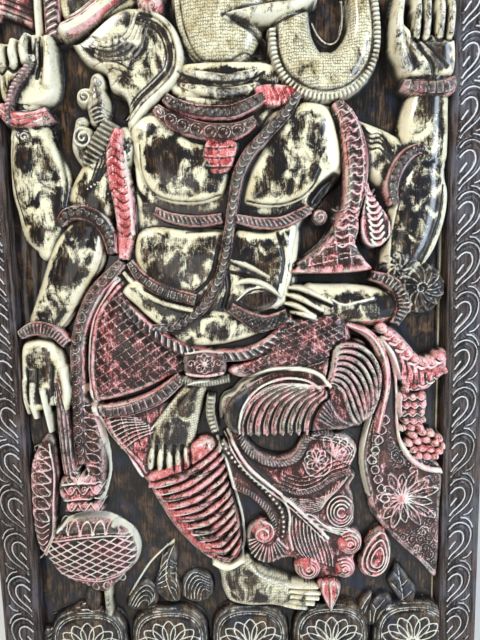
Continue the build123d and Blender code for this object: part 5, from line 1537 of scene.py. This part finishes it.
class Finish:
    """A material under construction."""

    def __init__(self, name):
        self.material = bpy.data.materials.new(name)
        self.material.use_nodes = True
        self.tree = self.material.node_tree
        self.shader = self.tree.nodes["Principled BSDF"]
        self.start = Shade(self.tree, None)
        place = self.start.node("ShaderNodeTexCoord")
        self.place = self.start.out(place, "Object")

    def attribute(self, name):
        """The four channels of a colour attribute."""
        made = self.start.node("ShaderNodeAttribute", {"attribute_name": name})
        parts = self.start.node("ShaderNodeSeparateColor", Color=self.start.out(made, "Color"))
        return [self.start.out(parts, k) for k in range(3)] + [self.start.out(made, "Alpha")]

    def stretched(self, x, y, z):
        made = self.start.node("ShaderNodeMapping", Vector=self.place, Scale=(x, y, z))
        return self.start.out(made)

    def noise(self, scale, detail=3.0, rough=0.5, vector=None, distortion=0.0):
        made = self.start.node("ShaderNodeTexNoise", Vector=vector or self.place, Scale=scale, Detail=detail,
            Roughness=rough, Distortion=distortion)
        return self.start.out(made)

    def flat(self, values):
        made = self.start.node("ShaderNodeRGB")
        made.outputs[0].default_value = values
        return self.start.out(made)

    def set(self, name, value):
        socket = self.shader.inputs[name]
        if isinstance(value, Shade):
            self.tree.links.new(value.socket, socket)
        else:
            socket.default_value = value

    def bump(self, height, strength, distance):
        made = self.start.node("ShaderNodeBump", Height=height, Strength=strength, Distance=distance)
        self.set("Normal", self.start.out(made, "Normal"))


def painted_carving():
    """Old cream, coral and chalk paint over dark hardwood, rubbed through on the high spots, with dark wash
    and painted shade in the hollows and painted highlights on thin edges.
    """
    m = Finish("painted_carving")
    cream, red, chalk, hollow = m.attribute("paint_and_shade")
    rub, hatch, edge, bare = m.attribute("wear_and_highlight")
    grain = m.noise(1.0, 5, 0.6, m.stretched(300, 300, 26)) - 0.5
    broad = m.noise(18, 4, 0.6, distortion=0.6) - 0.5
    blot = m.noise(1.0, 4, 0.58, m.stretched(34, 34, 24), distortion=0.9) - 0.5
    patchy = m.noise(90, 5, 0.68, m.stretched(1, 1, 0.7), distortion=0.6) - 0.5
    fine = m.noise(420, 3, 0.7) - 0.5
    scratch = m.noise(1.0, 3, 0.6, m.stretched(50, 200, 360), distortion=2.2) - 0.5
    upright = m.noise(1.0, 3, 0.6, m.stretched(420, 200, 46), distortion=1.6) - 0.5
    streak = scratch * 0.6 + upright
    wood = m.flat(WOOD_BLACK).mix(WOOD_BROWN, (grain + blot * 0.9 + patchy * 0.4).above(-0.10, 0.34))
    # bluish patches on the dark wood, stronger on bare wood: partly navy paint and partly a painted sheen of
    # blue light
    wood = wood.mix(WOOD_NAVY_AND_SHEEN, (broad + grain * 0.4).above(0.02, 0.14) * (0.35 + bare * 0.5))
    stain = m.flat(STAIN_MAROON).mix(STAIN_RED, (blot + streak * 0.6 + patchy * 0.5).above(-0.1, 0.3))
    wood = wood.mix(stain, (red * 5.0).clamped() * 0.9)
    wood = wood.mix(WOOD_DUST, (streak + blot * 0.8).above(0.22, 0.44) * 0.6)
    # cream: rubbed through at the middle of each form, with scratches of it left there
    left = 1.04 - rub * 0.82 - hollow * 0.6 + blot * 2.3 + patchy * 0.7
    left = left + fine * 0.25 + streak * 0.8 + broad * 0.8
    cream_left = cream * left.above(0.24, 0.62)
    cream_tone = m.flat(CREAM_OLD).mix(CREAM_PALE, (broad + blot * 0.8 + fine * 0.3).above(-0.18, 0.10))
    cream_tone = cream_tone.mix(CREAM_BROWNED, (patchy * 0.5 + streak).above(0.10, 0.32) * 0.7)
    cream_tone = cream_tone.mix(CREAM_GREY, (patchy + upright * 0.6).above(0.14, 0.28) * 0.4)
    surface = wood.mix(cream_tone, cream_left)
    # coral, with brown showing through it and pale paint over it
    coral = red * 1.35 - 0.80 - rub * 0.75 - hollow * 0.7 + blot * 1.6 + patchy * 2.4
    coral = coral + fine * 0.5 + streak * 1.2 + broad * 0.6
    coral_tone = m.flat(CORAL_DEEP).mix(CORAL, (broad + fine * 0.6 + patchy * 0.5).above(-0.14, 0.12))
    coral_tone = coral_tone.mix(CORAL_PALE,
        (streak * 0.9 + blot * 0.5 + patchy + fine * 0.4).above(0.10, 0.26) * 0.85)
    surface = surface.mix(coral_tone, coral.above(-0.05, 0.40))
    pale = red * (streak * 1.2 + blot * 0.8 + fine * 0.5).above(0.20, 0.40)
    surface = surface.mix(BUFF, pale * (1.0 - rub * 0.5) * 0.75)
    # chalk in cut lines and on ridges, and pale paint on thin proud edges that is partly dry brushing and
    # partly a painted highlight
    pinkness = (red * 3.0).clamped() * (patchy * 2.2 + blot * 2.0 + broad + 0.36)
    worn_line = (chalk + fine * 0.4 + patchy * 0.9 + streak * 0.4).above(0.34, 0.70)
    chalk_tone = m.flat(CHALK).mix(CHALK_PINK, pinkness.above(0.1, 0.6))
    brushed_and_highlight = edge * (1.0 - bare * 0.85) * (patchy + fine * 0.5).above(-0.16, 0.10) * 0.9
    surface = surface.mix(chalk_tone, worn_line * 0.92)
    surface = surface.mix(chalk_tone, brushed_and_highlight)
    # dark wash in the cuts, with painted shade in hollows and beside ridges
    surface = surface.mix(WASH_AND_SHADE_BLACK, (hollow * (1.0 - chalk)).clamped() * 0.9)
    # fine cross cuts on the hide
    wave = m.start.node("ShaderNodeTexWave", {"wave_type": "BANDS", "bands_direction": "Z"}, Vector=m.place,
        Scale=62.0, Distortion=5.0, Detail=3.0, Detail_Scale=3.0)
    cross = m.start.node("ShaderNodeTexWave", {"wave_type": "BANDS", "bands_direction": "X"}, Vector=m.place,
        Scale=78.0, Distortion=6.0, Detail=3.0, Detail_Scale=3.0)
    across = m.start.out(wave, 1).above(0.62, 0.9) + m.start.out(cross, 1).above(0.7, 0.95)
    cuts = hatch * across.clamped() * (patchy + fine * 0.6).above(-0.22, 0.06)
    surface = surface.mix(HIDE_CUTS, cuts * 0.75)
    m.set("Base Color", surface)
    m.set("Roughness", 0.45 + fine * 0.2)
    m.set("Specular IOR Level", 0.12)
    m.set("Coat Weight", 0.8)
    m.set("Coat Roughness", 0.15)
    m.bump(fine * 0.3 + grain * 0.4 + streak * 0.7 + patchy * 0.7 + cuts * -0.5 + cream_left * 0.5, 0.6,
        0.002)
    return m.material


def frame_wood():
    """Dark stained hardwood with pale paint left in the cuts, a painted bluish sheen in patches, and dark
    wash with painted shade in the hollows.
    """
    m = Finish("frame_wood_finish")
    chalk, hollow = m.attribute("paint_and_shade")[2:]
    grain = m.noise(1.0, 5, 0.6, m.stretched(260, 260, 18)) - 0.5
    fine = m.noise(380, 4, 0.65) - 0.5
    broad = m.noise(12, 3, 0.6) - 0.5
    wood = m.flat(FRAME_BLACK).mix(FRAME_BROWN, (grain + fine * 0.4).above(-0.14, 0.2))
    # painted sheen: bluish patches that stand for light reflected off the stiles
    wood = wood.mix(FRAME_PAINTED_SHEEN, (broad + grain * 0.6).above(-0.02, 0.16) * 0.5)
    # dark wash with painted shade in the hollows and beside the ridges
    wood = wood.mix(FRAME_WASH_AND_SHADE, hollow)
    line = (chalk + fine * 0.8 + broad * 0.6).above(0.36, 0.76)
    m.set("Base Color", wood.mix(FRAME_CHALK, line * 0.92))
    m.set("Roughness", 0.45)
    m.set("Specular IOR Level", 0.12)
    m.set("Coat Weight", 0.5)
    m.set("Coat Roughness", 0.17)
    m.bump(grain * 0.8 + fine * 0.6, 0.5, 0.0012)
    return m.material


def plain_wood(name, deep, light, across_grain=False):
    """Bare hardwood with its grain along the piece, for the back."""
    m = Finish(name)
    stretch = (16, 240, 240) if across_grain else (240, 240, 16)
    grain = m.noise(1.0, 6, 0.62, m.stretched(*stretch), distortion=0.4)
    pores = m.noise(1.0, 2, 0.5, m.stretched(*(90 if k < 100 else 900 for k in stretch)))
    tone = m.flat(deep).mix(light, grain.above(0.3, 0.72)).mix(PORES, pores.above(0.6, 0.75) * 0.5)
    m.set("Base Color", tone)
    m.set("Roughness", 0.5 + grain * 0.2)
    m.bump(grain * 0.6 + pores * -0.4, 0.4, 0.001)
    return m.material


def nail_iron():
    """Blackened iron that rusts in its pits."""
    m = Finish("forged_iron")
    pits = m.noise(420, 4, 0.6)
    m.set("Base Color", m.flat(IRON_BLACK).mix(IRON_RUST, pits.above(0.55, 0.7) * 0.7))
    m.set("Metallic", 0.85)
    m.set("Roughness", 0.45 + pits * 0.3)
    m.bump(pits, 0.5, 0.0006)
    return m.material


# Build the boards

painted = painted_carving()
stained = frame_wood()
back_of_panel = plain_wood("panel_back_wood", colour(0.055, 0.036, 0.026), colour(0.13, 0.085, 0.058))


def build_panel():
    left = OPENING_LEFT + PANEL_GAP
    right = OPENING_RIGHT - PANEL_GAP
    cuts = list(np.linspace(DETAIL_LOW, DETAIL_HIGH, DETAIL_TILES + 1))
    zones = [(OPENING_FOOT + PANEL_GAP, DETAIL_LOW, COARSE_CELL)]
    zones += [(low, high, FINE_CELL) for low, high in zip(cuts, cuts[1:])]
    zones.append((DETAIL_HIGH, OPENING_TOP - PANEL_GAP, COARSE_CELL))
    for index, (low, high, cell) in enumerate(zones):
        f = Carving(left, right, low, high, cell)
        carve_figure(f)
        piece = board(f"panel_relief_{index + 1}", f, left, right, low, high, GROUND_Y, PANEL_BACK_Y, painted,
            back_of_panel, ("carved_panel",))


def build_frame():
    for name, side, low, high in (("left_stile", -1, left_low, left_high),
            ("right_stile", 1, right_low, right_high)):
        inner = OPENING_LEFT if side < 0 else OPENING_RIGHT
        run = high[2] - low[2] - 2 * BAND_INNER
        count = round(run / LEAF_PITCH)

        def place(u, v, inner=inner, side=side):
            return inner + side * (BAND_INNER + u), v
        zones = ((low[2], DETAIL_LOW, COARSE_CELL), (DETAIL_LOW, DETAIL_HIGH, FRAME_CELL),
            (DETAIL_HIGH, high[2], COARSE_CELL))
        for index, (foot, top, cell) in enumerate(zones):
            f = Carving(low[0], high[0], foot, top, cell, FRAME_MARGIN)
            carve_border(f, place, count, run / count, low[2] + BAND_INNER, 0.9 * side)
            round_edges(f, False)
            piece = board(f"{name}_face_{index + 1}", f, low[0], high[0], foot, top, FACE_Y, BACK_Y, stained,
                stained, (name,))
    for name, low, high, outward in (("top_rail", top_low, top_high, 1),
            ("bottom_rail", foot_low, foot_high, -1)):
        f = Carving(OPENING_LEFT, OPENING_RIGHT, low[2], high[2], COARSE_CELL, FRAME_MARGIN)
        inner = low[2] if outward > 0 else high[2]
        run = OPENING_RIGHT - OPENING_LEFT - 2 * BAND_INNER
        count = round(run / LEAF_PITCH)

        def place(u, v, inner=inner, outward=outward):
            return v, inner + outward * (BAND_INNER + u)
        carve_border(f, place, count, run / count, OPENING_LEFT + BAND_INNER, -0.9 * outward)
        round_edges(f, True)
        piece = board(f"{name}_face", f, OPENING_LEFT, OPENING_RIGHT, low[2], high[2], FACE_Y, BACK_Y,
            stained, stained, (name,))


def round_edges(f, lying):
    """Takes the sharpness off a board's long edges."""
    margin = f.margin
    px, pz = np.meshgrid(f.x, f.z)
    spots, line = (pz, f.z) if lying else (px, f.x)
    gap = np.minimum(spots - line[margin], line[-1 - margin] - spots)
    f.height -= EDGE_DROP * ramp(gap, EDGE_ROUNDING, 0.0)


build_panel()
build_frame()

batten_wood = plain_wood("batten_wood", colour(0.06, 0.038, 0.027), colour(0.15, 0.095, 0.062),
    across_grain=True)
peg_wood = plain_wood("peg_wood_finish", colour(0.12, 0.075, 0.05), colour(0.22, 0.15, 0.1))
iron = nail_iron()
for name, material in (("batten_upper", batten_wood), ("batten_middle", batten_wood),
        ("batten_lower", batten_wood), ("batten_nails", iron), ("tenon_pegs", peg_wood)):
    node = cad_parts[name]
    node.data.materials.clear()
    node.data.materials.append(material)


# Camera, floor and light

CAMERA_PLACE = (0.0147, -0.888, 0.9454)
CAMERA_TARGET = (0.0147, -0.032, 0.8436)
PICTURE_RIGHT = (0.99969, -0.00293, -0.0246)
LENS = 27.0
SENSOR = 36.0
STAGE_HALF = 6.0
BACKDROP_PLACE = (0.0, 5.0, 3.0)


def aim(thing, place, target, roll=0.0):
    """Places a camera or lamp so that it looks at its target."""
    toward = (Vector(target) - Vector(place)).normalized()
    turn = toward.to_track_quat("-Z", "Y").to_matrix().to_4x4()
    thing.matrix_world = Matrix.Translation(Vector(place)) @ turn @ Matrix.Rotation(roll, 4, "Z")


def add_camera():
    lens = bpy.data.cameras.new("camera")
    lens.lens = LENS
    lens.sensor_width = SENSOR
    lens.sensor_fit = "AUTO"
    camera = placed("camera", lens)
    aim(camera, CAMERA_PLACE, CAMERA_TARGET)
    right = Vector(PICTURE_RIGHT)
    level, up = camera.matrix_world.to_3x3().col[:2]
    roll = math.atan2(right.dot(up), right.dot(level))
    aim(camera, CAMERA_PLACE, CAMERA_TARGET, roll)
    bpy.context.scene.camera = camera


def add_light(name, place, target, size, power, tint):
    lamp = bpy.data.lights.new(name, "AREA")
    lamp.shape = "RECTANGLE"
    lamp.size = size[0]
    lamp.size_y = size[1]
    lamp.energy = power
    lamp.color = tint
    aim(placed(name, lamp), place, target)


def wide_sheet(name, standing):
    """A flat square on the ground, or standing well behind the door."""
    sheet = bmesh.new()
    bmesh.ops.create_grid(sheet, x_segments=1, y_segments=1, size=STAGE_HALF)
    if standing:
        bmesh.ops.rotate(sheet, verts=sheet.verts, matrix=Matrix.Rotation(math.radians(90), 3, "X"))
        bmesh.ops.translate(sheet, verts=sheet.verts, vec=BACKDROP_PLACE)
    mesh = bpy.data.meshes.new(name)
    sheet.to_mesh(mesh)
    sheet.free()
    return placed(name, mesh)


def add_floor():
    floor = wide_sheet("floor", False)
    m = Finish("pale_floor")
    m.set("Base Color", colour(0.8, 0.8, 0.79))
    m.set("Roughness", 0.8)
    floor.data.materials.append(m.material)


def add_backdrop():
    board_behind = wide_sheet("backdrop", True)
    m = Finish("pale_backdrop")
    m.set("Base Color", colour(0.95, 0.95, 0.95))
    m.set("Emission Color", colour(1, 1, 1))
    m.set("Emission Strength", 1.0)
    m.set("Roughness", 0.9)
    board_behind.data.materials.append(m.material)


def add_world():
    world = bpy.data.worlds.new("studio")
    world.use_nodes = True
    ground = world.node_tree.nodes["Background"]
    ground.inputs["Color"].default_value = colour(0.86, 0.9, 1.0)
    ground.inputs["Strength"].default_value = 0.05
    bpy.context.scene.world = world


add_camera()
add_floor()
add_backdrop()
add_world()
add_light("key", (-1.3, -1.7, 2.9), (0.0, 0, 0.85), (0.8, 0.8), 62, (1.0, 0.96, 0.88))
add_light("window", (2.1, -1.9, 1.3), (0.1, 0, 0.8), (0.7, 2.4), 92, (0.72, 0.85, 1.0))
add_light("front", (-0.7, -2.6, 0.9), (0, 0, 0.8), (1.2, 1.2), 10, (1.0, 0.96, 0.9))
add_light("back_light", (0.4, 2.6, 2.4), (0, 0, 1.0), (2.0, 2.0), 30, (1.0, 1.0, 1.0))
bpy.context.scene.view_settings.view_transform = "Standard"
